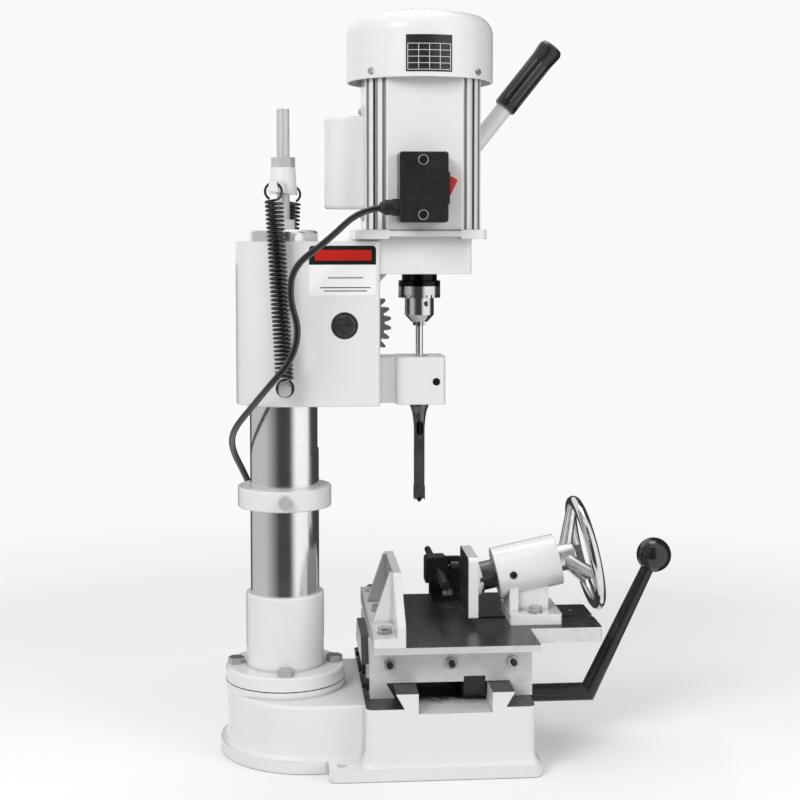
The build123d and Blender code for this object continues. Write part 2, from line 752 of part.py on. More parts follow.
def pinion_gear():
    points = gear_points(FEED_M, FEED_TEETH, math.pi, LASH)
    points = [(PINION_X + x, PINION_Z + z) for x, z in points]
    part = plate_y(points, -FEED_FACE / 2, FEED_FACE / 2)
    end = FEED_FACE / 2 + 1.7
    part += rod(SHAFT_R + 8, (PINION_X, -end, PINION_Z), (PINION_X, end, PINION_Z))
    return part - rod(SHAFT_R + FIT, (PINION_X, -30, PINION_Z), (PINION_X, 30, PINION_Z))


def handle_hub():
    x = PINION_X
    z = PINION_Z
    end = HANDLE_Y + HUB_R - 1
    part = rod(HUB_R, (x, HANDLE_Y - HUB_R, z), (x, end, z))
    part = fillet(part.edges().group_by(Axis.Y)[-1], 3)
    part += rod(SHAFT_R + 5, (x, HEAD_R + APART, z), (x, HANDLE_Y - HUB_R + 1, z))
    part += rod(HANDLE_TUBE_R + 4.5, HANDLE_START, HANDLE_START + HANDLE_DIR * (HUB_R + 16))
    seat = HANDLE_START + HANDLE_DIR * (SHAFT_R + 1.5)
    part -= rod(HANDLE_TUBE_R + FIT, seat, HANDLE_START + HANDLE_DIR * (HUB_R + 20))
    return part - rod(SHAFT_R + FIT, (x, HEAD_R, z), (x, HANDLE_Y + HUB_R - 3, z))


def handle_tube():
    a = HANDLE_START + HANDLE_DIR * (SHAFT_R + 1.5)
    return rod(HANDLE_TUBE_R, a, HANDLE_START + HANDLE_DIR * (HANDLE_LENGTH - 8))


def handle_grip():
    length = GRIP_LENGTH
    plane = Plane(origin=HANDLE_START + HANDLE_DIR * (HANDLE_LENGTH - length), z_dir=HANDLE_DIR)
    r = GRIP_R
    outline = Polyline((0, 0), (r - 1.5, 0), (r, 2), (r, length - 20), (r + 1.2, length - 8),
                       (r + 1.2, length - 4), (r - 1, length), (0, length), close=True)
    face = Plane.XZ * make_face(outline)
    grip = revolve(face, axis=Axis.Z)
    for n in range(12):
        turn = 30.0 * n
        grip -= Rot(0, 0, turn) * rod(1.5, (r + 0.7, 0, 9), (r + 0.7, 0, length - 24))
    grip -= rod(HANDLE_TUBE_R + FIT, (0, 0, -1), (0, 0, length - 8))
    return plane * grip


def motor_outline(half, radius, z0, z1):
    block = box(SPINDLE_X - half, SPINDLE_X + half, -half, half, z0, z1)
    return block & rod(radius, (SPINDLE_X, 0, z0), (SPINDLE_X, 0, z1))


def tie_places():
    return [(SPINDLE_X + x, y) for x in (-TIE_AT, TIE_AT) for y in (-TIE_AT, TIE_AT)]


def motor_shield():
    plate = upright(box(SHIELD_X0, SHIELD_X1, -SHIELD_Y, SHIELD_Y, ARM_Z1, MOTOR_Z0), 11)
    for side in (-1, 1):
        y = side * (SHIELD_Y - 2)
        plate -= box(SPINDLE_X - 38, SPINDLE_X + 38, y - 4, y + 4, ARM_Z1 - 1, ARM_Z1 + 2.5)
        plate -= box(SPINDLE_X - 38, SPINDLE_X + 38, y - 4, y + 4, MOTOR_Z0 - 1.2, MOTOR_Z0 + 1)
    plate += rod(BEARING_R + 5, (SPINDLE_X, 0, BEARING_LOW - 3), (SPINDLE_X, 0, MOTOR_Z0))
    plate -= rod(BEARING_R + FIT, (SPINDLE_X, 0, BEARING_LOW), (SPINDLE_X, 0, BEARING_LOW + BEARING_H))
    plate -= rod(MOTOR_SHAFT_R + 3, (SPINDLE_X, 0, BEARING_LOW - 9), (SPINDLE_X, 0, MOTOR_Z0 + 1))
    for x, y in motor_bolt_places():
        plate -= rod(M8_R + FIT, (x, y, ARM_Z1 - 1), (x, y, MOTOR_Z0 + 1))
    for x, y in tie_places():
        plate -= rod(TIE_R + FIT, (x, y, MOTOR_Z0 - 7), (x, y, MOTOR_Z0 + 1))
    return plate


def motor_bolts():
    group = []
    for x, y in motor_bolt_places():
        group.append(socket_screw(M8_R, 6.5, 6, (x, y, MOTOR_Z0), (x, y, MOTOR_BOLT_Z)))
    return group


def motor_housing():
    part = motor_outline(MOTOR_HALF, MOTOR_R, MOTOR_Z0, UPPER_Z0)
    part -= rod(STATOR_R + FIT, (SPINDLE_X, 0, MOTOR_Z0 - 1), (SPINDLE_X, 0, UPPER_Z0 + 1))
    for n in range(4):
        for turn, r, deep in ((45, TIE_CHANNEL_R, TIE_AT * math.sqrt(2)), (45 - FLUTE_TURN, FLUTE_R, MOTOR_R),
                              (45 + FLUTE_TURN, FLUTE_R, MOTOR_R)):
            a = math.radians(turn + 90 * n)
            x = SPINDLE_X + deep * math.cos(a)
            y = deep * math.sin(a)
            part -= rod(r, (x, y, MOTOR_Z0 - 1), (x, y, UPPER_Z0 + 1))
            if turn == 45:
                spot = Plane(origin=(x, y, (MOTOR_Z0 + UPPER_Z0) / 2), x_dir=(math.cos(a), math.sin(a), 0))
                part -= spot * Box(2 * (MOTOR_R - deep) + 6, 2 * r - 2, UPPER_Z0 - MOTOR_Z0 + 2)
    for a, b in cover_screw_places():
        part -= rod(M4_R + FIT, a, b)
    return part


def tie_rods():
    return [rod(TIE_R, (x, y, MOTOR_Z0 - 7), (x, y, UPPER_Z1 - 5)) for x, y in tie_places()]


def upper_shield():
    inner = CAP_R - CAP_WALL - FIT
    part = motor_outline(MOTOR_HALF - 1, inner, UPPER_Z0, UPPER_Z1)
    part -= rod(BEARING_R + FIT, (SPINDLE_X, 0, UPPER_Z0 - 1), (SPINDLE_X, 0, UPPER_Z1 - 3))
    part -= rod(MOTOR_SHAFT_R + 3, (SPINDLE_X, 0, UPPER_Z0 - 1), (SPINDLE_X, 0, UPPER_Z1 + 1))
    for x, y in tie_places():
        part -= rod(TIE_R + FIT, (x, y, UPPER_Z0 - 1), (x, y, UPPER_Z1 - 5))
    for a, b in cap_screw_places():
        part -= rod(M4_R + FIT, b, a)
    return part


def cap_screw_places():
    places = []
    for n in range(4):
        a = math.radians(45 + 90 * n)
        d = Vector(math.cos(a), math.sin(a), 0)
        mid = Vector(SPINDLE_X, 0, UPPER_Z0 + 5.5)
        places.append((mid + d * (CAP_R + FIT), mid + d * (CAP_R - 4.5)))
    return places


def cap_screws():
    group = []
    for a, b in cap_screw_places():
        out = (a - b).normalized()
        group.append(rod(M4_R, b, a) + taper_rod(CAP_SCREW_R, 3.2, a, a + out * 2.2))
    return group


def cap_form(r, z0, top, corner):
    rim = top - CAP_DOME
    s = corner * (1 - math.sqrt(0.5))
    edges = [Line((0, z0), (r, z0)), Line((r, z0), (r, rim - corner))]
    edges.append(ThreePointArc((r, rim - corner), (r - s, rim - s), (r - corner, rim)))
    # a crown that runs level at the small flat in its middle
    reach = r - corner - CAP_FLAT
    crown = (reach * reach + CAP_DOME * CAP_DOME) / (2 * CAP_DOME)
    half = math.asin(reach / crown) / 2
    middle = (CAP_FLAT + crown * math.sin(half), top - crown * (1 - math.cos(half)))
    edges.append(ThreePointArc((r - corner, rim), middle, (CAP_FLAT, top)))
    edges.append(Line((CAP_FLAT, top), (0, top)))
    edges.append(Line((0, top), (0, z0)))
    plane = Plane(origin=(SPINDLE_X, 0, 0), x_dir=(1, 0, 0), z_dir=(0, -1, 0))
    return revolve(plane * make_face(Wire(edges)), axis=Axis((SPINDLE_X, 0, 0), (0, 0, 1)))


def fan_cover():
    part = cap_form(CAP_R, CAP_Z0, CAP_TOP, CAP_ROUND)
    part -= cap_form(CAP_R - CAP_WALL, CAP_Z0 - 1, CAP_TOP - CAP_WALL, CAP_ROUND - CAP_WALL)
    for n in range(VENT_SLOTS):
        slot = Pos(37, 0, CAP_TOP - 4) * Box(32, 3.6, 20)
        part -= Pos(SPINDLE_X, 0, 0) * (Rot(0, 0, 360.0 * n / VENT_SLOTS) * slot)
    for a, b in cap_screw_places():
        part -= rod(M4_R + FIT, b, a + (a - b))
    return part


def fan():
    part = ring(14, MOTOR_SHAFT_R + FIT, (SPINDLE_X, 0, FAN_Z0), (SPINDLE_X, 0, FAN_Z1))
    part += ring(FAN_R, 12, (SPINDLE_X, 0, FAN_Z0), (SPINDLE_X, 0, FAN_Z0 + 2))
    for n in range(FAN_BLADES):
        blade = box(12, FAN_R, -1.2, 1.2, FAN_Z0 + 1, FAN_Z1)
        part += Pos(SPINDLE_X, 0, 0) * (Rot(0, 0, 360.0 * n / FAN_BLADES) * blade)
    return part


def motor_bearings():
    group = []
    for z0, z1 in ((BEARING_LOW, BEARING_LOW + BEARING_H), (UPPER_Z0, UPPER_Z1 - 3)):
        group.append(ring(BEARING_R, MOTOR_SHAFT_R + FIT, (SPINDLE_X, 0, z0), (SPINDLE_X, 0, z1)))
    return group


def capacitor_cover():
    bow = CAPCOVER_X0 + CAPCOVER_Y
    t = CAPCOVER_T

    def form(inset, z0, z1, right):
        y = CAPCOVER_Y - inset
        edges = [Line((right, -y), (bow, -y)), ThreePointArc((bow, -y), (CAPCOVER_X0 + inset, 0), (bow, y))]
        edges += [Line((bow, y), (right, y)), Line((right, y), (right, -y))]
        return extrude(Plane.XY.offset(z0) * make_face(Wire(edges)), amount=z1 - z0)

    part = form(0, CAPCOVER_Z0, CAPCOVER_Z1, MOTOR_X0)
    ends = part.edges().group_by(Axis.Z)
    part = fillet([e for e in ends[0] + ends[-1] if e.center().X < MOTOR_X0 - 1], 4)
    part -= form(t, CAPCOVER_Z0 + t, CAPCOVER_Z1 - t, MOTOR_X0 + 1)
    for a, b in cover_screw_places():
        half = CAPCOVER_TAB / 2
        tab = box(MOTOR_X0 - t, MOTOR_X0, -half, half, a.Z - half, a.Z + half)
        part += fillet(tab.edges().filter_by(Axis.X), 3)
        part -= rod(M4_R + FIT, a, b)
    return part


def cover_screw_places():
    # a tab above the cover and one below it
    reach = CAPCOVER_TAB / 2 - 1
    a = MOTOR_X0 - CAPCOVER_T
    return [(Vector(a, 0, z), Vector(MOTOR_X0 + 6, 0, z)) for z in (CAPCOVER_Z0 - reach, CAPCOVER_Z1 + reach)]


def cover_screws():
    group = []
    for a, b in cover_screw_places():
        group.append(rod(M4_R, b, a) + taper_rod(CAP_SCREW_R, 2.6, a, a - Vector(3, 0, 0)))
    return group


def switch_box():
    back = -(BOX_Y - LID_T)
    part = box(BOX_X0, BOX_X1, back, -MOTOR_HALF, BOX_Z0, BOX_Z1)
    part = fillet(part.edges().filter_by(Axis.Y), 3)
    w = BOX_WALL
    part -= box(BOX_X0 + w, BOX_X1 - w, back - 1, -MOTOR_HALF - w, BOX_Z0 + w + 9, BOX_Z1 - w - 9)
    half = ROCKER_W / 2 + 0.4
    y = -(BOX_Y + MOTOR_HALF) / 2
    tall = ROCKER_R + 0.4
    part -= box(BOX_X1 - 12, BOX_X1 + 1, y - half, y + half, ROCKER_Z - tall, ROCKER_Z + tall)
    part -= rod(5 + FIT, (BOX_X0 - 1, -GLAND_Y, GLAND_Z), (BOX_X0 + w + 2, -GLAND_Y, GLAND_Z))
    for x, z in lid_screw_places():
        part -= rod(M4_R + FIT, (x, back - 1, z), (x, back + 14, z))
    return part


def lid_screw_places():
    x = (BOX_X0 + BOX_X1) / 2 - 1
    return [(x, BOX_Z1 - 8.5), (x, BOX_Z0 + 8.0)]


def switch_lid():
    part = box(BOX_X0, BOX_X1, -BOX_Y, -(BOX_Y - LID_T), BOX_Z0, BOX_Z1)
    part = fillet(part.edges().filter_by(Axis.Y), 3)
    part = chamfer(part.edges().group_by(Axis.Y)[0], 0.8)
    for x, z in lid_screw_places():
        part -= rod(M4_R + FIT, (x, -BOX_Y - 1, z), (x, 0, z))
        part -= rod(4.5, (x, -BOX_Y - 1, z), (x, LID_SINK - BOX_Y, z))
    return part


def lid_screws():
    group = []
    for x, z in lid_screw_places():
        end = -(BOX_Y - LID_T) + 13.5
        group.append(slotted(M4_R, 3.7, 2, (x, LID_SINK - BOX_Y, z), (x, end, z), (0.8, 0, 0.6)))
    return group


def switch_bezel():
    y = -(BOX_Y + MOTOR_HALF) / 2
    part = box(BOX_X1, BOX_X1 + 2.2, y - 10.5, y + 10.5, ROCKER_Z - 17, ROCKER_Z + 17)
    part = fillet(part.edges().filter_by(Axis.X), 2)
    half = ROCKER_W / 2 + 0.4
    tall = ROCKER_R + 0.4
    return part - box(BOX_X1 - 1, BOX_X1 + 9, y - half, y + half, ROCKER_Z - tall, ROCKER_Z + tall)


def rocker():
    y = -(BOX_Y + MOTOR_HALF) / 2
    half = ROCKER_W / 2
    x = BOX_X1 + ROCKER_OUT
    part = rod(ROCKER_R, (x, y - half, ROCKER_Z), (x, y + half, ROCKER_Z))
    part -= box(x - 30, x - 6.5, y - 20, y + 20, ROCKER_Z - 20, ROCKER_Z + 20)
    tilt = math.radians(ROCKER_TILT)
    face = Plane(origin=(x, y, ROCKER_Z), x_dir=(math.cos(tilt), 0, -math.sin(tilt)), z_dir=(0, -1, 0))
    wide = 4 * ROCKER_R
    return part - face * (Pos(ROCKER_FACE + wide / 2, 0, 0) * Box(wide, wide, wide))


def cable_gland():
    y = -GLAND_Y
    z = GLAND_Z
    part = hexagon(18, (BOX_X0, y, z), (BOX_X0 - 6.5, y, z), 30)
    part += rod(8.2, (BOX_X0 - 6.4, y, z), (BOX_X0 - 14, y, z))
    part += taper_rod(8.2, CORD_R + 1.2, (BOX_X0 - 14, y, z), (BOX_X0 - 20, y, z))
    part += rod(5, (BOX_X0, y, z), (BOX_X0 + BOX_WALL + 1.5, y, z))
    return part - rod(CORD_R + FIT, (BOX_X0 - 30, y, z), (BOX_X0 + 9, y, z))


def chuck_body():
    r = CHUCK_R
    part = turned([(0, CHUCK_NOSE), (9, CHUCK_NOSE), (r, CHUCK_Z0), (r, SLEEVE_Z1), (19.5, SLEEVE_Z1),
                   (19.5, CHUCK_TOP), (0, CHUCK_TOP)], SPINDLE_X)
    part -= rod(MOTOR_SHAFT_R + FIT, (SPINDLE_X, 0, SLEEVE_Z0 + 2), (SPINDLE_X, 0, CHUCK_TOP + 1))
    part -= rod(AUGER_R + FIT, (SPINDLE_X, 0, CHUCK_NOSE - 1), (SPINDLE_X, 0, SLEEVE_Z0 - 4))
    for n in range(3):
        part -= chuck_jaw(n, FIT)
        a = math.radians(-67 + 120 * n)
        d = Vector(math.cos(a), math.sin(a), 0)
        mid = Vector(SPINDLE_X, 0, SLEEVE_Z0 - 6.5)
        part -= rod(3, mid + d * 9, mid + d * 30)
    return part


def chuck_jaw(n, grow):
    jaw = box(AUGER_R + FIT - grow, 7.4 + grow, -2 - grow, 2 + grow, CHUCK_NOSE - 4.5, CHUCK_NOSE + 9 + grow)
    return Pos(SPINDLE_X, 0, 0) * (Rot(0, 0, 20 + 120 * n) * jaw)


def chuck_sleeve():
    part = ring(SLEEVE_R, CHUCK_R + FIT, (SPINDLE_X, 0, SLEEVE_Z0), (SPINDLE_X, 0, SLEEVE_Z1))
    part = chamfer(part.edges().group_by(Axis.Z)[-1].sort_by(SortBy.LENGTH)[-1], 1)
    for n in range(24):
        gap = box(CHUCK_R + 1.5, SLEEVE_R + 1, -1.2, 1.2, SLEEVE_Z0 - 1, SLEEVE_Z0 + 3.4)
        part -= Pos(SPINDLE_X, 0, 0) * (Rot(0, 0, 15.0 * n) * gap)
    return part


def auger():
    part = rod(AUGER_R, (SPINDLE_X, 0, AUGER_TIP + 4), (SPINDLE_X, 0, SLEEVE_Z0 - 5))
    return part + taper_rod(AUGER_R, 0.6, (SPINDLE_X, 0, AUGER_TIP + 4), (SPINDLE_X, 0, AUGER_TIP))


def chisel():
    z = HOLDER_Z0
    r = CHISEL_FLARE_R
    half = CHISEL_SIDE / 2
    cut = CHISEL_CUT / 2
    top = HOLDER_Z1 - 2
    part = turned([(0, z - 42), (half, z - 42), (half + 0.4, z - 30), (half + 1.2, z - 20), (r - 2.4, z - 11),
                   (r, z - 4), (r, z), (CHISEL_SHANK_R, z), (CHISEL_SHANK_R, top), (0, top)], SPINDLE_X)
    part += box(SPINDLE_X - half, SPINDLE_X + half, -half, half, CHISEL_TIP + 10, z - 26)
    part += box(SPINDLE_X - cut, SPINDLE_X + cut, -cut, cut, CHISEL_TIP, CHISEL_TIP + 16)
    corner = cut * math.sqrt(2) + 0.1
    part -= taper_rod(corner, AUGER_R, (SPINDLE_X, 0, CHISEL_TIP - 0.01), (SPINDLE_X, 0, CHISEL_TIP + 7))
    part -= rod(AUGER_R + APART, (SPINDLE_X, 0, CHISEL_TIP - 1), (SPINDLE_X, 0, HOLDER_Z1))
    for dz in (-33, -24):
        part -= rod(3.6, (SPINDLE_X, -20, z + dz), (SPINDLE_X, 0, z + dz))
    return part - box(SPINDLE_X - 3.6, SPINDLE_X + 3.6, -20, 0, z - 33, z - 24)


def low_flank(z):
    # distance of the lower dovetail's flank from the slide's middle
    return DOVE_HALF - (DOVE_TOP - z) / SLANT


def high_flank(z):
    return BAR_HALF - (z - BAR_Z) / SLANT


def saddle():
    part = box(SADDLE_X0, SADDLE_X1, -SADDLE_D / 2, SADDLE_D / 2, SHOULDER_Z + RUN, SADDLE_TOP)
    z0 = SHOULDER_Z - 1
    z1 = SADDLE_ROOF
    left = GIB_SIDE + 2 * SIDE_RUN
    part -= plate_y([(SLIDE_X - low_flank(z0) - left, z0), (SLIDE_X + low_flank(z0) + SIDE_RUN, z0),
                     (SLIDE_X + low_flank(z1) + SIDE_RUN, z1), (SLIDE_X - low_flank(z1) - left, z1)],
                    -SADDLE_D, SADDLE_D)
    z0 = BAR_Z - RUN
    z1 = SADDLE_TOP + 1
    part -= plate_x([(-high_flank(z0) - left, z0), (high_flank(z0) + SIDE_RUN, z0),
                     (high_flank(z1) + SIDE_RUN, z1), (-high_flank(z1) - left, z1)],
                    SADDLE_X0 - 1, SADDLE_X1 + 1)
    x = LEVER_RACK_X
    half = LEVER_RACK_W / 2 + FIT
    part -= box(x - half, x + half, -SADDLE_D, SADDLE_D, SADDLE_ROOF - 1, LEVER_RACK_TOP)
    for a, b in gib_screw_places() + front_screw_places():
        part -= rod(M7_R + FIT, a, b)
    return part - tongue_room()


def tongue_room():
    # the end of the slide is lower, so that the tongue can travel over it
    x0 = PLATE_X1 - TABLE_BACK - APART
    side = TONGUE_Y + APART
    return box(x0, SADDLE_X1 + 1, -side, side, TABLE_TOP - TONGUE_T - APART, SADDLE_TOP + 1)


def gib_screw_places():
    z = GIB_SCREW_Z
    end = SLIDE_X - low_flank(z + 4) - GIB_SIDE - 2 * SIDE_RUN
    return [(Vector(SADDLE_X0, y, z), Vector(end, y, z)) for y in (-GIB_SCREW_Y, 0, GIB_SCREW_Y)]


def front_screw_places():
    z = FRONT_SCREW_Z
    end = -high_flank(z - 4) - GIB_SIDE - 2 * SIDE_RUN
    xs = [SLIDE_X + x for x in (-FRONT_SCREW_X, 0, FRONT_SCREW_X)]
    return [(Vector(x, -SADDLE_D / 2, z), Vector(x, end, z)) for x in xs]


def lock_screws(places):
    group = []
    for a, b in places:
        out = (a - b).normalized()
        group.append(rod(M7_R, b, a + out * LOCK_STAND) + hexagon(LOCK_NUT_AF, a, a + out * LOCK_NUT_H))
    return group


def gib_strip_y():
    z0 = SHOULDER_Z + 0.6
    z1 = SADDLE_ROOF - 0.6
    near = SIDE_RUN
    far = SIDE_RUN + GIB_SIDE
    return plate_y([(SLIDE_X - low_flank(z0) - far, z0), (SLIDE_X - low_flank(z0) - near, z0),
                    (SLIDE_X - low_flank(z1) - near, z1), (SLIDE_X - low_flank(z1) - far, z1)],
                   2 - SADDLE_D / 2, SADDLE_D / 2 - 2)


def gib_strip_x():
    z0 = BAR_Z + 0.6
    z1 = SADDLE_TOP - 0.6
    near = SIDE_RUN
    far = SIDE_RUN + GIB_SIDE
    return plate_x([(-high_flank(z0) - far, z0), (-high_flank(z0) - near, z0),
                    (-high_flank(z1) - near, z1), (-high_flank(z1) - far, z1)],
                   SADDLE_X0 + 2, SADDLE_X1 - 2) - tongue_room()


def saddle_rack():
    half = SADDLE_D / 2 - 0.5
    line = LEVER_Z + LEVER_PITCH_R
    root = line + 1.25 * LEVER_M
    points = [(-half, LEVER_RACK_TOP), (-half, root)]
    points += [(y, line - h) for y, h in rack_points(LEVER_M, -half, half, 0, LASH)]
    points += [(half, root), (half, LEVER_RACK_TOP)]
    return plate_x(points, LEVER_RACK_X - LEVER_RACK_W / 2, LEVER_RACK_X + LEVER_RACK_W / 2)


def lever_bar():
    start = LEVER_RACK_X - LEVER_FACE / 2 - 4 - WALL
    corner = Vector(LEVER_END_X, 0, LEVER_Z)
    ball = Vector(BALL_X, 0, BALL_Z)
    up = (ball - corner).normalized()
    # bar and arm meet in a mitre
    mitre = Plane(origin=corner, x_dir=(0, 1, 0), z_dir=up + Vector(1, 0, 0))
    long = 2 * LEVER_R
    wide = 6 * LEVER_R
    part = rod(LEVER_R, (start, 0, LEVER_Z), corner + Vector(long, 0, 0))
    part -= mitre * (Pos(0, 0, wide / 2) * Box(wide, wide, wide))
    arm = taper_rod(LEVER_R, LEVER_ARM_R, corner - up * long, ball - up * (BALL_R - 10))
    return part + (arm - mitre * (Pos(0, 0, -wide / 2) * Box(wide, wide, wide)))


def lever_ball():
    corner = Vector(LEVER_END_X, 0, LEVER_Z)
    ball = Vector(BALL_X, 0, BALL_Z)
    up = (ball - corner).normalized()
    hole = rod(LEVER_ARM_R + 0.5, ball - up * (BALL_R + 9), ball - up * (BALL_R - 10))
    return Pos(*ball) * Sphere(BALL_R) - hole


def lever_pinion():
    points = gear_points(LEVER_M, LEVER_TEETH, math.pi / 2, LASH)
    points = [(y, LEVER_Z + z) for y, z in points]
    x0 = LEVER_RACK_X - LEVER_FACE / 2
    part = plate_x(points, x0, x0 + LEVER_FACE)
    return part - rod(LEVER_R + FIT, (x0 - 1, 0, LEVER_Z), (x0 + LEVER_FACE + 1, 0, LEVER_Z))


def table():
    part = upright(box(PLATE_X0, PLATE_X1, -PLATE_Y, PLATE_Y, PLATE_Z, TABLE_TOP), 2)
    tongue = box(PLATE_X1 - 30, TONGUE_X1, -TONGUE_Y, TONGUE_Y, TABLE_TOP - TONGUE_T, TABLE_TOP)
    tongue = fillet(tongue.edges().filter_by(Axis.Z).group_by(Axis.X)[-1], 4)
    part += tongue - box(0, PLATE_X1, -PLATE_Y, PLATE_Y, 0, PLATE_Z)
    x0 = PLATE_X0 - BAR_OUT
    part += plate_x([(-BAR_HALF, BAR_Z), (BAR_HALF, BAR_Z), (high_flank(PLATE_Z), PLATE_Z),
                     (-high_flank(PLATE_Z), PLATE_Z)], x0, PLATE_X1)
    part -= box(JAW_X0, TONGUE_X1 + 1, -5, 5, TABLE_TOP - 6, TABLE_TOP + 1)
    for a, b in fence_bolt_places():
        part -= rod(M8_R + FIT, b - Vector(0, 0, FIT), a)
    for x, y in vise_bolt_places():
        part -= rod(M8_R + FIT, (x, y, VISE_BOLT_Z), (x, y, TABLE_TOP + 1))
    x, y = stop_bolt_place()
    part -= rod(M6_R + FIT, (x, y, PLATE_Z - 1), (x, y, TABLE_TOP + 1))
    x = TONGUE_HOLE_X
    y = TONGUE_HOLE_Y
    return part - rod(2, (x, y, TABLE_TOP - 9), (x, y, TABLE_TOP + 1))


def fence_bolt_places():
    top = TABLE_TOP + FENCE_T
    x = PLATE_X0 + FENCE_BOLT_IN
    return [(Vector(x, y, top), Vector(x, y, PLATE_Z + 0.8)) for y in (-FENCE_BOLT_Y, 0, FENCE_BOLT_Y)]


def fence():
    x1 = PLATE_X0 + FENCE_W
    wall_x = x1 - FENCE_WALL
    top = TABLE_TOP + FENCE_H
    part = box(PLATE_X0, x1, -PLATE_Y, PLATE_Y, TABLE_TOP, TABLE_TOP + FENCE_T)
    part += plate_x([(-PLATE_Y, TABLE_TOP), (PLATE_Y, TABLE_TOP), (PLATE_Y, TABLE_TOP + FENCE_LIP),
                     (FENCE_TOP_Y, top), (-FENCE_TOP_Y, top), (-PLATE_Y, TABLE_TOP + FENCE_LIP)], wall_x, x1)
    for y in (4 - FENCE_TOP_Y, FENCE_TOP_Y - 12):
        part += plate_y([(PLATE_X0 + 3, TABLE_TOP + FENCE_T - 1), (wall_x + 1, TABLE_TOP + FENCE_T - 1),
                         (wall_x + 1, top - 1), (wall_x - 3, top - 1)], y, y + 8)
    for a, b in fence_bolt_places():
        part -= rod(M8_R + FIT, b, a + Vector(0, 0, 1))
    return part


def fence_bolts():
    group = []
    for a, b in fence_bolt_places():
        washer = a + Vector(0, 0, WASHER_T)
        group.append(bolt(M8_R, M8_AF, M8_HEAD, washer, b) + rod(M8_WASHER_R, a, washer))
    return group


def vise_bolt_places():
    x = (VISE_FOOT_X0 + VISE_FOOT_X1) / 2
    return [(x, y) for y in (-VISE_FOOT_Y + 10, VISE_FOOT_Y - 10)]


def vise_body():
    top = TABLE_TOP + VISE_FOOT_T
    part = upright(box(VISE_FOOT_X0, VISE_FOOT_X1, -VISE_FOOT_Y, VISE_FOOT_Y, TABLE_TOP, top), 4)
    part += box(VISE_FOOT_X0 + 4, VISE_FOOT_X1 - 12, -16, 16, top - 1, VISE_Z)
    part += box(VISE_FOOT_X0 + 1, VISE_FOOT_X0 + 11, -24, 24, top - 1, VISE_Z)
    part += rod(BARREL_R, on_vise(0), on_vise(BARREL_L))
    part -= rod(QUILL_R + FIT, on_vise(-9), on_vise(BARREL_L - BARREL_END))
    part -= rod(VISE_SCREW_R + FIT, on_vise(-9), on_vise(BARREL_L + 1))
    for x, y in vise_bolt_places():
        part -= rod(M8_R + FIT, (x, y, TABLE_TOP - 1), (x, y, top + 1))
        part -= rod(M8_WASHER_R + APART, (x, y, top), (x, y, top + 9))
    a, b = key_screw_place()
    return part - rod(M8_R + FIT, a, b)


def vise_bolts():
    group = []
    top = TABLE_TOP + VISE_FOOT_T
    for x, y in vise_bolt_places():
        seat = (x, y, top + WASHER_T)
        screw = bolt(M8_R, M8_AF, M8_HEAD, seat, (x, y, VISE_BOLT_Z))
        group.append(screw + rod(M8_WASHER_R, (x, y, top), seat))
    return group


def key_screw_place():
    at = on_vise(17)
    return at - Vector(0, BARREL_R + 1, 0), at - Vector(0, QUILL_R + APART, 0)


def key_screw():
    a, b = key_screw_place()
    return rod(M8_R, a, b) - hexagon(M8_R, a, a + Vector(0, 3, 0))


def jaw_plate():
    part = box(JAW_X0, JAW_X0 + JAW_T, -JAW_Y, JAW_Y, JAW_Z0, JAW_Z1)
    return fillet(part.edges().filter_by(Axis.X).group_by(Axis.Z)[-1], 6)


def jaw_quill():
    back = JAW_X0 + JAW_T
    s = (back - VISE_X) / VISE_DIR.X
    part = rod(QUILL_R, on_vise(s - 9), on_vise(BARREL_L - BARREL_END - SCREW_COLLAR - JAW_BACK - 2))
    part += taper_rod(QUILL_R + 6.5, QUILL_R + 2, on_vise(s - 6), on_vise(s + 8))
    part -= box(back - 40, back, -60, 60, VISE_Z - 60, VISE_Z + 60)
    part -= rod(VISE_SCREW_R + FIT, on_vise(s + 8), on_vise(BARREL_L))
    slot = Plane(origin=on_vise(12), x_dir=VISE_DIR, z_dir=(0, 1, 0))
    return part - slot * (Pos(0, 0, -QUILL_R) * Box(QUILL_SLOT, 5, 6))


def vise_screw():
    screw = rod(VISE_SCREW_R, on_vise(2), on_vise(WHEEL_AT - 5))
    collar = BARREL_L - BARREL_END
    screw += rod(VISE_SCREW_R + 4, on_vise(collar - SCREW_COLLAR), on_vise(collar - FIT))
    nut = hexagon(18, on_vise(WHEEL_AT - 12), on_vise(WHEEL_AT - 4))
    return [screw, nut - rod(VISE_SCREW_R + FIT, on_vise(WHEEL_AT - 20), on_vise(WHEEL_AT))]


def handwheel():
    hub0 = BARREL_L + APART
    hub1 = WHEEL_AT - 12
    ring_r = WHEEL_R - WHEEL_RIM_R
    part = rod(15, (0, 0, hub0), (0, 0, hub1))
    part = fillet(part.edges().group_by(Axis.Z)[-1], 2)
    part += Pos(0, 0, WHEEL_AT) * Torus(ring_r, WHEEL_RIM_R)
    for n in range(SPOKES):
        spoke = taper_rod(SPOKE_R0, SPOKE_R1, (10, 0, hub1 - 9), (ring_r, 0, WHEEL_AT))
        part += Rot(0, 0, WHEEL_TURN + 360 * n / SPOKES) * spoke
    part -= rod(VISE_SCREW_R + FIT, (0, 0, hub0 - 1), (0, 0, hub1 + 1))
    return Plane(origin=VISE_START, x_dir=(0, 1, 0), z_dir=VISE_DIR) * part


def stop_bolt_place():
    return STOP_X + 13, STOP_BLOCK_Y0 + 8


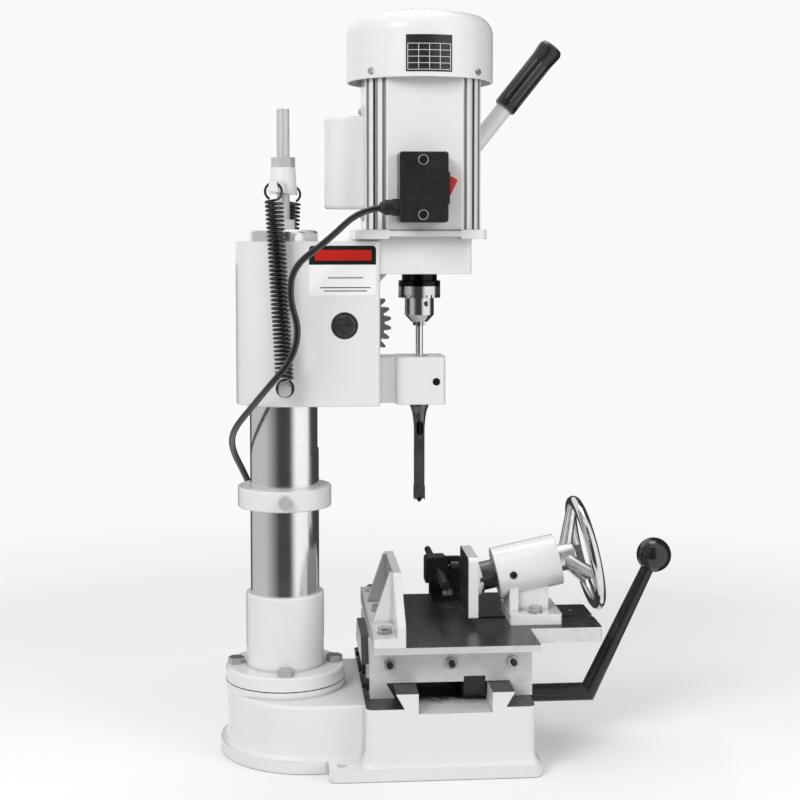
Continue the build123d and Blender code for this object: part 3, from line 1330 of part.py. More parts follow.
def stop_bracket():
    x0 = STOP_X - 7
    x1 = STOP_X + 33
    part = box(x0, x1, STOP_BLOCK_Y0 - 3, PLATE_Y, TABLE_TOP, TABLE_TOP + STOP_FOOT_T)
    part += box(x0, x1, STOP_BLOCK_Y1, PLATE_Y, TABLE_TOP, STOP_Z + 9)
    part = fillet(part.edges().filter_by(Axis.Y).group_by(Axis.Z)[-1], 5)
    x, y = stop_bolt_place()
    part -= rod(M6_R + FIT, (x, y, TABLE_TOP - 1), (x, y, TABLE_TOP + STOP_FOOT_T + 1))
    return part - rod(STOP_ROD_R + 1, (STOP_X, STOP_BLOCK_Y0, STOP_Z), (STOP_X, PLATE_Y + 1, STOP_Z))


def stop_bolt():
    x, y = stop_bolt_place()
    top = TABLE_TOP + STOP_FOOT_T
    seat = (x, y, top + WASHER_T)
    return bolt(M6_R, 10, 4, seat, (x, y, PLATE_Z)) + rod(6.5, (x, y, top), seat)


def stop_block():
    part = box(STOP_X - 14, STOP_X + 12, STOP_BLOCK_Y0, STOP_BLOCK_Y1, STOP_Z - 16, STOP_Z + 14)
    part = chamfer(part.edges().filter_by(Axis.Y).group_by(Axis.Z)[-1], 3)
    y = (STOP_BLOCK_Y0 + STOP_BLOCK_Y1) / 2
    part -= rod(M6_R + FIT, (STOP_X, y, STOP_Z), (STOP_X + 30, y, STOP_Z))
    return part - rod(STOP_ROD_R + FIT, (STOP_X, 0, STOP_Z), (STOP_X, PLATE_Y, STOP_Z))


def stop_knob():
    y = (STOP_BLOCK_Y0 + STOP_BLOCK_Y1) / 2
    part = rod(M6_R, (STOP_X + STOP_ROD_R + FIT, y, STOP_Z), (STOP_X + 17, y, STOP_Z))
    return part + fillet(rod(6.5, (STOP_X + 16.5, y, STOP_Z), (STOP_X + 27, y, STOP_Z)).edges(), 1)


def stop_rod():
    part = rod(STOP_ROD_R, (STOP_X, STOP_Y0 + 20, STOP_Z), (STOP_X, STOP_Y1, STOP_Z))
    nose = rod(STOP_NOSE_R, (STOP_X, STOP_Y0, STOP_Z), (STOP_X, STOP_Y0 + 56, STOP_Z))
    return part + chamfer(nose.edges().group_by(Axis.Y)[0], 0.8)


# Cord: a 7 mm lead from the gland, over the head's front, round the column and down to a coil behind the base
CORD_LOW = CORD_R + 1.5
CORD_JOIN = (-94, -55, 385)      # on the straight between its two neighbours
CORD_HIGH = CORD_LOW + COIL_PITCH
CORD_HEAD = [(BOX_X0 - 1, -GLAND_Y, GLAND_Z), (24, -GLAND_Y, GLAND_Z), (-14, -93, 563), (-49, -95, 537.5),
             (-53, -95, 504), (-42.5, -95, 472), (-50, -93, 440), (-74, -84, 412), CORD_JOIN]
CORD_HANG = [CORD_JOIN, (-114, -26, 358), (-117, 16, 332), (-102, 52, 296), (-86, 74, 252), (-76, 82, 200),
             (-70, 86, 146), (-63, 97, 94), (-51, 120, 50), (-28, 140, 16), (24, COIL_Y - COIL_R, CORD_LOW),
             (COIL_X, COIL_Y - COIL_R, CORD_LOW)]


def coil_edges():
    p = COIL_PITCH
    heading = 1.0
    y = COIL_Y - COIL_R
    z = CORD_LOW
    point = Vector(COIL_X, y, z)
    edges = []

    def half(radius):
        nonlocal point, heading
        middle = point + Vector(heading * radius, heading * radius, 0)
        end = point + Vector(0, 2 * heading * radius, 0)
        edges.append(Edge.make_tangent_arc(point, Vector(heading, 0, 0), middle))
        edges.append(Edge.make_tangent_arc(middle, Vector(0, heading, 0), end))
        point = end
        heading = -heading

    for radius in (COIL_R, COIL_R - p / 2, COIL_R - p):
        half(radius)
    # the half turn that climbs to the upper layer
    r = COIL_R - 1.5 * p
    rise = CORD_HIGH - CORD_LOW
    middle = point + Vector(heading * r, heading * r, rise / 2)
    lean = Vector(0, heading, 1.5 * rise / (math.pi * r)).normalized()
    end = point + Vector(0, 2 * heading * r, rise)
    edges.extend(biarc(point, Vector(heading, 0, 0), middle, lean))
    edges.extend(biarc(middle, lean, end, Vector(-heading, 0, 0)))
    point = end
    heading = -heading
    for radius in (COIL_R - p, COIL_R - p / 2):
        half(radius)
    edges.append(Edge.make_line(point, point + Vector(48, 0, 0)))
    return edges


def cord_tie():
    x0 = COIL_X + COIL_R - COIL_PITCH - CORD_R - 2.8
    x1 = COIL_X + COIL_R + CORD_R
    z1 = CORD_HIGH + CORD_R
    outer = box(x0 - 1.5, x1 + 1.5, COIL_Y - 5, COIL_Y + 5, 0, z1 + 1.5)
    inner = box(x0 - 0.5, x1 + 0.5, COIL_Y - 6, COIL_Y + 6, 1.0, z1 + 0.5)
    return fillet(outer.edges().filter_by(Axis.Y), 2) - inner


def plug():
    y = COIL_Y - COIL_R + COIL_PITCH
    z = CORD_HIGH
    x = COIL_X + PLUG_AT
    x0 = x + PLUG_NECK
    x1 = x0 + PLUG_BODY
    part = taper_rod(CORD_R + 1.2, 6.5, (x, y, z), (x0, y, z))
    body = box(x0, x1, y - PLUG_HALF, y + PLUG_HALF, 0, 2 * z)
    part += fillet(body.edges().filter_by(Axis.X), 5)
    for dy, dz in ((-6, 3), (6, 3), (0, -5)):
        part += box(x1 - 1, x1 + PLUG_PIN, y + dy - 3, y + dy + 3, z + dz - 0.8, z + dz + 0.8)
    return part - rod(CORD_R + FIT, (x - 1, y, z), (COIL_X + 48, y, z))


head_edges, head_radii = cord_edges(CORD_HEAD)
hang_edges, hang_radii = cord_edges(CORD_HANG)
turns = coil_edges()
print("cord radii", [round(r, 1) for r in head_radii], [round(r, 1) for r in hang_radii])
lengths = [sum(e.length for e in edges) for edges in (head_edges, hang_edges, turns)]
print("cord lengths", [round(v, 1) for v in lengths], "in all", round(sum(lengths), 1))
print("coil least gap", round(least_gap(turns, CORD_R, 40), 3))
front_edges = spring_edges(1)
rear_edges = spring_edges(-1)
print("spring least gaps", round(least_gap(front_edges, SPRING_WIRE / 2, 14), 3),
      round(least_gap(rear_edges, SPRING_WIRE / 2, 14), 3))

nodes["base_casting"] = base_casting()
nodes["column_socket"] = column_socket()
nodes["socket_bolts"] = socket_bolts()
nodes["column"] = column()
nodes["column_rack"] = column_rack()
hanger_rod = rod(ROD_R, (COLUMN_X, 0, COLUMN_TOP - ROD_IN), (COLUMN_X, 0, ROD_TOP))
nut_low = hexagon(ROD_NUT_AF, (COLUMN_X, 0, COLUMN_TOP), (COLUMN_X, 0, COLUMN_TOP + ROD_NUT_H), 20)
nut_at = HANGER_Z + HANGER_H
nut_high = hexagon(ROD_NUT_AF, (COLUMN_X, 0, nut_at), (COLUMN_X, 0, nut_at + ROD_NUT_H), 8)
rod_hole = rod(ROD_R + FIT, (COLUMN_X, 0, COLUMN_TOP - 9), (COLUMN_X, 0, ROD_TOP + 9))
nodes["hanger_rod"] = [hanger_rod, nut_low - rod_hole, nut_high - rod_hole]
nodes["spring_hanger"] = spring_hanger()
nodes["spring_front"] = tube(front_edges, SPRING_WIRE / 2)
nodes["spring_rear"] = tube(rear_edges, SPRING_WIRE / 2)
low = COLLAR_Z
high = COLLAR_Z + COLLAR_H
collar = ring(COLLAR_R, COLUMN_R + RUN, (COLUMN_X, 0, low), (COLUMN_X, 0, high))
collar_screw = [(COLUMN_X, -COLLAR_R - 1, (low + high) / 2), (COLUMN_X, -COLUMN_R - RUN, (low + high) / 2)]
collar = chamfer(collar.edges().filter_by(GeomType.CIRCLE), 1) - rod(M10_R + FIT, *collar_screw)
nodes["stop_collar"] = [collar, bolt(M10_R, COLLAR_SCREW_AF, M10_HEAD, *collar_screw)]
nodes["head_casting"] = head_casting()
nodes["head_bolts"] = spring_bolts() + [chisel_clamp()]
nodes["shaft_bushes"] = shaft_bushes()
nodes["chisel"] = chisel()
nodes["pinion_shaft"] = pinion_shaft()
nodes["pinion_gear"] = pinion_gear()
nodes["handle_hub"] = handle_hub()
nodes["handle_tube"] = handle_tube()
nodes["handle_grip"] = handle_grip()
nodes["motor_shields"] = [motor_shield(), upper_shield()]
nodes["motor_housing"] = motor_housing()
nodes["tie_rods"] = tie_rods() + motor_bolts()
nodes["fan_cover"] = fan_cover()
nodes["cover_screws"] = cap_screws() + cover_screws() + lid_screws()
stator_ends = [(SPINDLE_X, 0, z) for z in (ROTOR_Z0 - 4, ROTOR_Z1 + 4)]
nodes["stator"] = ring(STATOR_R, ROTOR_R + AIR_GAP, *stator_ends)
nodes["motor_bearings"] = motor_bearings()
core = ring(ROTOR_R, MOTOR_SHAFT_R + FIT, (SPINDLE_X, 0, ROTOR_Z0), (SPINDLE_X, 0, ROTOR_Z1))
nodes["rotor"] = [core, rod(MOTOR_SHAFT_R, (SPINDLE_X, 0, SLEEVE_Z0 + 2), (SPINDLE_X, 0, FAN_Z1))]
nodes["fan"] = fan()
nodes["capacitor_cover"] = capacitor_cover()
capacitor_x = CAPCOVER_X0 + CAPCOVER_T + 0.2 + CAPACITOR_R
capacitor_ends = [(capacitor_x, 0, z) for z in (CAPCOVER_Z0 + CAPCOVER_T, CAPCOVER_Z1 - 10)]
nodes["capacitor"] = rod(CAPACITOR_R, *capacitor_ends)
nodes["switch_box"] = [switch_box(), switch_bezel()]
nodes["switch_lid"] = switch_lid()
nodes["rocker"] = rocker()
nodes["cable_gland"] = cable_gland()
nodes["chuck_body"] = [chuck_body()] + [chuck_jaw(n, 0) for n in range(3)]
nodes["chuck_sleeve"] = chuck_sleeve()
nodes["auger"] = auger()
nodes["saddle"] = saddle()
nodes["gib_strips"] = [gib_strip_y(), gib_strip_x()]
nodes["gib_screws"] = lock_screws(gib_screw_places() + front_screw_places())
nodes["saddle_rack"] = saddle_rack()
nodes["lever_bar"] = [lever_bar(), lever_pinion()]
nodes["lever_ball"] = lever_ball()
nodes["table"] = table()
nodes["fence"] = fence()
nodes["table_bolts"] = fence_bolts() + vise_bolts() + [key_screw(), stop_bolt()]
nodes["vise_body"] = vise_body()
nodes["jaw_plate"] = jaw_plate()
nodes["jaw_quill"] = jaw_quill()
nodes["vise_screw"] = vise_screw()
nodes["handwheel"] = handwheel()
nodes["stop_bracket"] = stop_bracket()
nodes["stop_block"] = [stop_block(), stop_knob()]
nodes["stop_rod"] = stop_rod()
nodes["cord_head"] = tube(head_edges, CORD_R)
nodes["cord_hang"] = tube(hang_edges, CORD_R)
nodes["cord_coil"] = tube(turns, CORD_R)
nodes["cord_tie"] = cord_tie()
nodes["plug"] = plug()

section = math.pi * CORD_R * CORD_R
for name, length in zip(("cord_head", "cord_hang", "cord_coil"), lengths):
    print(name, "volume over section times length", round(nodes[name].volume / (section * length), 4))
for name in ("spring_front", "spring_rear"):
    edges = front_edges if name == "spring_front" else rear_edges
    wire = math.pi * (SPRING_WIRE / 2) ** 2 * sum(e.length for e in edges)
    print(name, "volume over section times length", round(nodes[name].volume / wire, 4))

for name, shape in nodes.items():
    solids = []
    for piece in shape if isinstance(shape, list) else [shape]:
        solids += piece.solids()
    export_step(Compound(children=solids) if len(solids) > 1 else solids[0], "parts/" + name + ".step")
print(len(nodes), "nodes")
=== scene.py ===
import math

import bmesh
import bpy
from bpy.props import FloatProperty, FloatVectorProperty, IntProperty, PointerProperty
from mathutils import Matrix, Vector


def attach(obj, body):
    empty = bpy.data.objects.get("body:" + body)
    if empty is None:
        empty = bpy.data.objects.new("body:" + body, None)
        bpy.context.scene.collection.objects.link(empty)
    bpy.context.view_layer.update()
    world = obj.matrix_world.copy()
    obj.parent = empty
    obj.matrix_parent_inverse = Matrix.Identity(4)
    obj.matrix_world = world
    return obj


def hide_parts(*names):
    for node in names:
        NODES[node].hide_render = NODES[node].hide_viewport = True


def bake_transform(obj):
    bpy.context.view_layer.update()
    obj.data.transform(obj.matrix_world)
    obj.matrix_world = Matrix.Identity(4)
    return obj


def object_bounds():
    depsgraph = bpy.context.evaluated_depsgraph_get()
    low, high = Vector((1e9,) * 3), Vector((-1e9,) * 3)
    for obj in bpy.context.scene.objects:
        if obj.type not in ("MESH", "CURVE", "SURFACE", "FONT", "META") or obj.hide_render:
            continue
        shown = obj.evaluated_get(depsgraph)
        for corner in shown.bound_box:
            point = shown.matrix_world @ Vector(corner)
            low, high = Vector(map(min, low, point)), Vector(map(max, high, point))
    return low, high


bl_info = {
    "name": "Hollow chisel mortiser",
    "version": (1, 0, 0),
    "blender": (4, 5, 0),
    "location": "3D View > Sidebar > Mortiser",
    "description": "Dresses the mortiser's frame with its finishes, springs, cord and plates",
    "category": "Add Mesh",
}

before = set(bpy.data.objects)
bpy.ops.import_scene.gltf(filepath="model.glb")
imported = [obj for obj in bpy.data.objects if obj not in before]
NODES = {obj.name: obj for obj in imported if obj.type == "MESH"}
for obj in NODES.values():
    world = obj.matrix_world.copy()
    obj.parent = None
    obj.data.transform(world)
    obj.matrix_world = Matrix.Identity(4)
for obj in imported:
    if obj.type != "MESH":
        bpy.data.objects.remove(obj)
CAD_BOX = [list(corner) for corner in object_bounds()]
FLOOR_Z = CAD_BOX[0][2]
MM = 0.001

# Places and sizes on the machine, in millimetres and degrees

COLUMN_X = -58.0
SPINDLE_X = 92.0

# the cord's way from the gland to the floor, its coil in half turns, and its end in the plug
LEAD = [(52, -82, 598.8), (24, -82, 598.8), (-14, -93, 563), (-49, -95, 537.5), (-53, -95, 504),
        (-42.5, -95, 472), (-50, -93, 440), (-74, -84, 412), (-94, -55, 385), (-114, -26, 358),
        (-117, 16, 332), (-102, 52, 296), (-86, 74, 252), (-76, 82, 200), (-70, 86, 146),
        (-63, 97, 94), (-51, 120, 50), (-28, 140, 16), (24, 146, 5), (62, 146, 5)]
COIL_START = (82.0, 146.0)
COIL_LOW = 5.0
COIL_RADII = (46.0, 42.15, 38.3, 34.45, 38.3, 42.15)
COIL_POINTS = 9
COIL_CLIMB = 3  # which half turn goes up to the second layer
COIL_STEP = 7.7
COIL_END = ((104, 153.7, 12.7), (126, 153.7, 12.7))
CORD_SIDES = 16

# the return springs: the hanger's arms above, the head's bolts below
HANGER_TURN = 9.4
HANGER_R = 63.0
HANGER_Z = 606.0
HOOK_Y = 66.0
HOOK_Z = 417.0
TURN_POINTS = 22
LOOP_GAP = 1.0
LOOP_ARC = 240
LOOP_STEP = 12
BEND_REACH = 1.7  # in spring radii
BEND_POINTS = 8
SPRING_SIDES = 10

# the head's label: left, right, low and high edge, its black band and the red bar in it
LABEL = (-31.3, 40.3, 505.0, 558.4)
LABEL_FACE = -52.5
LABEL_CORNER = 4.0
LABEL_BAND = 20.3
BAR_LEFT, BAR_RIGHT, BAR_EDGE = 6.0, 5.0, 4.5
BAR_CORNER = 1.0
BAR_RISE = 0.08
# its printed lines: height over the low edge, and length
LABEL_LINES = ((18.5, 38.0), (8.0, 54.0), (4.5, 46.0))
LABEL_LINE_T = 1.1
LABEL_LINE_SHIFT = 3.0
LABEL_LINE_RISE = 0.05
PRINT_T = 0.35
PRINT_BED = 0.3  # how deep a print sits in what carries it
INK_BED = 0.2

# the plate round the motor's cap, and the grid on it
CAP_R = 80.5
PLATE_TURN = (-15.7, 19.6)
PLATE_Z = (741.0, 779.5)
PLATE_STRIPS = 14
STRIP_MERGE = 0.001
STRIP_NEAR = 0.1
GRID_LINES = 5
GRID_LINE_T = 0.6
GRID_MARGIN = (4.0, 11.5)
GRID_DROP = 3.6

# the hanger rod's thread, the switch lid's screw seats and the seam under the column's flange
THREAD_R = 6.8
THREAD_Z = (655.5, 705.5)
THREAD_WIRE = 0.5
THREAD_SIDES = 6
THREAD_POINTS = 28
LID_SCREWS = ((86.6, -98.0, 648.2), (86.6, -98.0, 591.0))
LID_SEAT_R = 5.0
FLANGE_SEAM = (-58.0, 0.0, 78.0)
FLANGE_SEAM_R = 65.9
RING_WIRE = 0.6
RING_POINTS = 40
RING_SIDES = 10

# borders between two finishes on one piece
FACING = 0.9  # share of a face's normal along an axis, from which the face looks that way
SLANTED = 0.1
BLOCK_X = 25.0
DOVETAIL_Z = 74.0
CHANNEL_X = (79.0, 159.0)
CHANNEL_Z = 68.0
FENCE_BAY_Y = 44.5
FENCE_BACK_X = 58.5
FENCE_FOOT_Z = 151.0
COLLAR_R = 51.9
TABLE_TOP_Z = 138.0
TABLE_SLOT_Y = 6.0
TABLE_SLOT_Z = 132.0
TABLE_SLIDE = 0.4
SADDLE_FOOT_Z = 80.0
CLAMP_SCREW_X = 50.0
KEY_SCREW_Z = 180.0
LID_SCREW_Y = -75.0
QUILL_PAINT_X = 162.0
GIB_X = (52.3, 119.0, 185.7)
GIB_Z = 112.0
GIB_FRONT_Y = -83.0
GIB_SCREW_R = 3.7
WHEEL_AT = (178.0, 0.0, 189.4)
WHEEL_TILT = 12.0
WHEEL_RIM_R = 53.5
GRIP_FOOT = (6.5, 102.0, 472.6)
GRIP_TURN = 51.5
GRIP_SKIN_R = 13.25
# the housing's tie rods lie in channels at its corners, with a flute on either side
HOUSING_SKIN_R = 73.7
ROD_TURN = 45.0
ROD_CHANNEL_TURN = 6.0
ROD_CHANNEL_R = 60.0
FLUTE_TURN = 9.0
FLUTE_HALF_TURN = 2.4
FLUTE_R = 70.0

# Borders inside a finish, in metres

# painted shadow under the saddle on the greased floor of the base's channel: where it begins and
# how ragged its border is
SHADOW_AND_GREASE_Y = (-0.085, -0.052)
SHADOW_AND_GREASE_RAGGED = 0.018
CHUCK_BAND_Z = 0.5135
AUGER_DARK_Z = 0.43
LEVEL_BLUR = 0.0003

# Tones and shares of the finishes that go with no colour of the panel

# the first is the painted shadow under the saddle on the greased channel floor
SHADOW_AND_GREASE_BLACK = (0.012, 0.011, 0.010, 1)
BAND_BLACK = (0.02, 0.02, 0.021, 1)
FLUTE_BLACK = (0.03, 0.03, 0.03, 1)
SPRING_STEEL = (0.09, 0.09, 0.092)
# painted highlight: the paler rubber in the grip's grooves
GRIP_HIGHLIGHT_RUBBER = (0.10, 0.10, 0.10)
PRINT_WHITE = (0.93, 0.93, 0.92)
PRINT_SILVER = (0.72, 0.72, 0.72)
PLATE_BLACK = (0.05, 0.05, 0.052)
OILED = (0.42, 0.41, 0.39)  # what oil leaves of each colour
DUSTED = 0.75  # what dust leaves of a colour, and the grey that it adds
DUST_GREY = 0.028
SOIL_FULL = 0.42
SPECKS_FINER = 9.0
PAINT_LUMPS = 2.0
MARK_LIFT = 0.8
MARK_DULL = 0.3
EDGE_WEAR = 0.45
EDGE_BRIGHT = 1.45
EDGE_RUB = 0.25
EDGE_FROM = 0.01  # how far a normal turns where an edge begins
CREASE_OPEN, CREASE_SHUT = 0.8, 0.25  # how much open air is left where a crease begins and ends
ENAMEL_ROUGHNESS = (0.15, 0.24)
COAT_ROUGHNESS = 0.08
EVEN = (1, 1, 1)

# The mix node's sockets for colours, which share their names with others

MIX_FIRST, MIX_SECOND, MIX_RESULT = 6, 7, 2

# The stage, in metres and degrees

LAMP_AIM = (0.05, 0.0, 0.42)
LAMPS = {  # place and width
    "key": ((-1.5, -1.9, 1.9), 1.5),
    "fill": ((1.9, -1.5, 1.1), 1.6),
    "top": ((0.1, 1.0, 4.0), 2.3),
}
ROUND_POINTS = 96
FLOOR_R = 14.0
FLOOR_DROP = 0.0005
FLOOR_ROUGHNESS = 0.75
FLOOR_SPECK = 0.99
FLOOR_FADE = (0.5, 1.5)
SCREEN_R = 0.9
SCREEN_HOLE = 0.44
SCREEN_TOP = 1.8
SCREEN_SPLIT = 0.52
# degrees from the front towards +X, and the lower and the upper panel's brightness (None: dark)
SCREEN_PANELS = ((-90, 0.55, 0.55), (-67, 0.55, 0.55), (-23, None, None), (14, None, None),
                 (33, 1.0, 1.0), (81, 1.0, 1.0), (94, None, None), (150, None, None),
                 (162, None, 0.95), (216, None, 0.95), (228, 0.55, 0.95), (240, 0.55, 0.55),
                 (270, 0.55, 0.55))
CAMERA_AT = (-0.070, -1.673, 0.5734)
CAMERA_DOWN = 3.6
CAMERA_TURN = -4.8
CAMERA_LENS = 68.2
CAMERA_SENSOR = 36.0
CAMERA_SHIFT = -0.09125
CAMERA_REACH = 60.0


class MortiserSizes(bpy.types.PropertyGroup):
    """Sizes of the pieces that are made here"""
    cord_diameter: FloatProperty(
        name="Cord diameter", description="Outside width of the mains lead",
        default=0.007, min=0.004, unit="LENGTH")
    spring_radius: FloatProperty(
        name="Spring radius", description="Radius of a return spring's turns at the wire's middle",
        default=0.0088, min=0.004, unit="LENGTH")
    spring_wire: FloatProperty(
        name="Spring wire", description="Thickness of a return spring's wire",
        default=0.0028, min=0.001, unit="LENGTH")
    spring_turns: IntProperty(
        name="Spring turns", description="Number of turns in a return spring", default=42, min=8)
    thread_pitch: FloatProperty(
        name="Thread pitch", description="Rise of the hanger rod's thread in one turn",
        default=0.002, min=0.0008, unit="LENGTH")


class MortiserColours(bpy.types.PropertyGroup):
    """Colours of the finishes"""
    paint: FloatVectorProperty(
        name="Paint", description="Gloss enamel on the castings", subtype="COLOR",
        default=(0.82, 0.82, 0.815), min=0, max=1)
    ground: FloatVectorProperty(
        name="Ground steel", description="The column's ground surface", subtype="COLOR",
        default=(0.86, 0.86, 0.855), min=0, max=1)
    milled: FloatVectorProperty(
        name="Milled iron", description="Bare machined iron of the slides", subtype="COLOR",
        default=(0.73, 0.73, 0.725), min=0, max=1)
    table: FloatVectorProperty(
        name="Table", description="Dark oiled top of the work table", subtype="COLOR",
        default=(0.045, 0.046, 0.048), min=0, max=1)
    zinc: FloatVectorProperty(
        name="Zinc", description="Plated bolts and nuts", subtype="COLOR",
        default=(0.54, 0.54, 0.535), min=0, max=1)
    galvanised: FloatVectorProperty(
        name="Galvanised", description="Spring hanger's rod and the head's bolts", subtype="COLOR",
        default=(0.68, 0.68, 0.675), min=0, max=1)
    dark: FloatVectorProperty(
        name="Dark steel", description="Rack, shafts, chisel and quill", subtype="COLOR",
        default=(0.17, 0.168, 0.165), min=0, max=1)
    cut: FloatVectorProperty(
        name="Cut steel", description="The feed pinion's teeth", subtype="COLOR",
        default=(0.27, 0.27, 0.27), min=0, max=1)
    black: FloatVectorProperty(
        name="Black steel", description="Blackened levers, screws and stop", subtype="COLOR",
        default=(0.016, 0.016, 0.017), min=0, max=1)
    chrome: FloatVectorProperty(
        name="Chrome", description="Handwheel and chuck", subtype="COLOR",
        default=(0.74, 0.74, 0.745), min=0, max=1)
    plastic: FloatVectorProperty(
        name="Black plastic", description="Switch box, ball and gland", subtype="COLOR",
        default=(0.013, 0.013, 0.014), min=0, max=1)
    rocker: FloatVectorProperty(
        name="Rocker red", description="The switch's rocker", subtype="COLOR",
        default=(0.60, 0.030, 0.022), min=0, max=1)
    rubber: FloatVectorProperty(
        name="Rubber", description="Grip and cord", subtype="COLOR",
        default=(0.012, 0.012, 0.0125), min=0, max=1)
    # bare iron of the slides, dark with oil; in the undercuts that dark also stands for painted
    # shade
    worn_and_shaded: FloatVectorProperty(
        name="Worn iron", description="Bare dovetails under the slides", subtype="COLOR",
        default=(0.10, 0.10, 0.10), min=0, max=1)
    # painted shade: a grey for the shaded bay behind the fence
    fence_shade: FloatVectorProperty(
        name="Primer", description="Thin grey paint behind the fence", subtype="COLOR",
        default=(0.36, 0.36, 0.36), min=0, max=1)
    # painted shade and reflection: a dark bare metal for the dark bands in the housing's grooves
    groove_shade: FloatVectorProperty(
        name="Groove", description="Bare metal in the motor housing's grooves", subtype="COLOR",
        default=(0.30, 0.30, 0.305), min=0, max=1)
    label_red: FloatVectorProperty(
        name="Label red", description="Bar on the head's label", subtype="COLOR",
        default=(0.55, 0.015, 0.012), min=0, max=1)
    copper: FloatVectorProperty(
        name="Winding", description="Lacquered copper in the motor", subtype="COLOR",
        default=(0.42, 0.17, 0.07), min=0, max=1)


class MortiserStage(bpy.types.PropertyGroup):
    """Light and floor"""
    key: FloatProperty(
        name="Key lamp", description="Power of the large lamp at the left",
        default=42.5, min=0, unit="POWER")
    fill: FloatProperty(
        name="Fill lamp", description="Power of the lamp at the right",
        default=18.5, min=0, unit="POWER")
    top: FloatProperty(
        name="Top lamp", description="Power of the lamp overhead",
        default=33.0, min=0, unit="POWER")
    ambient: FloatProperty(
        name="Ambient", description="Strength of the light from all round", default=0.49, min=0)
    pale: FloatVectorProperty(
        name="Backdrop", description="Colour that floor and backdrop show", subtype="COLOR",
        default=(0.95, 0.95, 0.95), min=0, max=1)
    bounce: FloatProperty(
        name="Bounce", description="Share of the floor's tone that lights the object from below",
        default=0.6, min=0, max=1, subtype="FACTOR")
    shade: FloatProperty(
        name="Dark screen", description="Brightness of the screen's dark parts in bright metal",
        default=0.05, min=0, max=1)


# Nodes


def node(tree, kind, inputs=None, **settings):
    """Adds a node, with its settings and the values or links of its inputs"""
    made = tree.nodes.new(kind)
    for key, value in settings.items():
        setattr(made, key, value)
    for key, value in (inputs or {}).items():
        if isinstance(value, bpy.types.NodeSocket):
            tree.links.new(value, made.inputs[key])
        else:
            made.inputs[key].default_value = value
    return made


def sockets(tree, way, kinds):
    """Adds a tree's own inputs or outputs"""
    return [tree.interface.new_socket(label, in_out=way, socket_type="NodeSocket" + kind)
            for label, kind in kinds.items()]


def reckoned(tree, operation, *values):
    """Result of a sum"""
    return node(tree, "ShaderNodeMath", dict(enumerate(values)), operation=operation).outputs[0]


def spread(tree, value, low, high, ease="LINEAR"):
    """Mask that rises from 0 to 1 as a value goes from low to high"""
    return node(tree, "ShaderNodeMapRange", {"Value": value, "From Min": low, "From Max": high},
                interpolation_type=ease).outputs["Result"]


def ranged(tree, mask, low, high):
    """Value that goes from low to high by a mask"""
    return node(tree, "ShaderNodeMapRange",
                {"Value": mask, "To Min": low, "To Max": high}).outputs["Result"]


def place_on(tree):
    """Where on the piece a point lies"""
    return node(tree, "ShaderNodeTexCoord").outputs["Object"]


def along(tree, axis):
    """Where on the piece a point lies along one axis"""
    return node(tree, "ShaderNodeSeparateXYZ", {0: place_on(tree)}).outputs[axis]


def above(tree, height):
    """Mask of what stands higher than a level"""
    return spread(tree, along(tree, "Z"), height - LEVEL_BLUR, height + LEVEL_BLUR)


def mixed(tree, mask, first, second):
    """Colour that goes from the first to the second by a mask"""
    return node(tree, "ShaderNodeMix", {"Factor": mask, MIX_FIRST: first, MIX_SECOND: second},
                data_type="RGBA", clamp_factor=True).outputs[MIX_RESULT]


def laid_over(tree, tone, mask, amount, colour):
    """A tone with a share of another colour over it, where a mask says"""
    return mixed(tree, reckoned(tree, "MULTIPLY", mask, amount), tone, colour)


# Shader groups


def shader_group(name, inputs, outputs):
    """An empty shader group with its sockets, and the nodes' sockets at its two ends"""
    tree = bpy.data.node_groups.new(name, "ShaderNodeTree")
    kinds = {label: "Vector" if isinstance(value, tuple) else "Float"
             for label, value in inputs.items()}
    for socket in sockets(tree, "INPUT", kinds):
        socket.default_value = inputs[socket.name]
    sockets(tree, "OUTPUT", outputs)
    given = tree.nodes.new("NodeGroupInput").outputs
    return tree, given, tree.nodes.new("NodeGroupOutput").inputs


def grain_group():
    """Fine grain that can be drawn out along one way, for tool marks and cast skin"""
    tree, given, result = shader_group(
        "Grain", {"Scale": 200.0, "Stretch": EVEN, "Detail": 3.0, "Low": 0.35, "High": 0.65},
        {"Mask": "Float"})
    drawn = node(tree, "ShaderNodeVectorMath", {0: place_on(tree), 1: given["Stretch"]},
                 operation="MULTIPLY")
    noise = node(tree, "ShaderNodeTexNoise", {
        "Vector": drawn.outputs[0], "Scale": given["Scale"], "Detail": given["Detail"],
        "Roughness": 0.6})
    mask = spread(tree, noise.outputs["Fac"], given["Low"], given["High"])
    tree.links.new(mask, result["Mask"])
    return tree


def soil_group():
    """Patches of oil, dust and handling marks"""
    tree, given, result = shader_group("Soiling", {"Scale": 18.0, "Cover": 0.4}, {"Mask": "Float"})
    place = place_on(tree)
    broad = node(tree, "ShaderNodeTexNoise", {
        "Vector": place, "Scale": given["Scale"], "Detail": 5.0, "Roughness": 0.65,
        "Distortion": 0.6})
    finer = reckoned(tree, "MULTIPLY", given["Scale"], SPECKS_FINER)
    specks = node(tree, "ShaderNodeTexNoise", {"Vector": place, "Scale": finer, "Detail": 3.0})
    both = reckoned(tree, "MULTIPLY", broad.outputs["Fac"], specks.outputs["Fac"])
    edge = reckoned(tree, "SUBTRACT", SOIL_FULL, given["Cover"])
    tree.links.new(spread(tree, both, edge, SOIL_FULL), result["Mask"])
    return tree


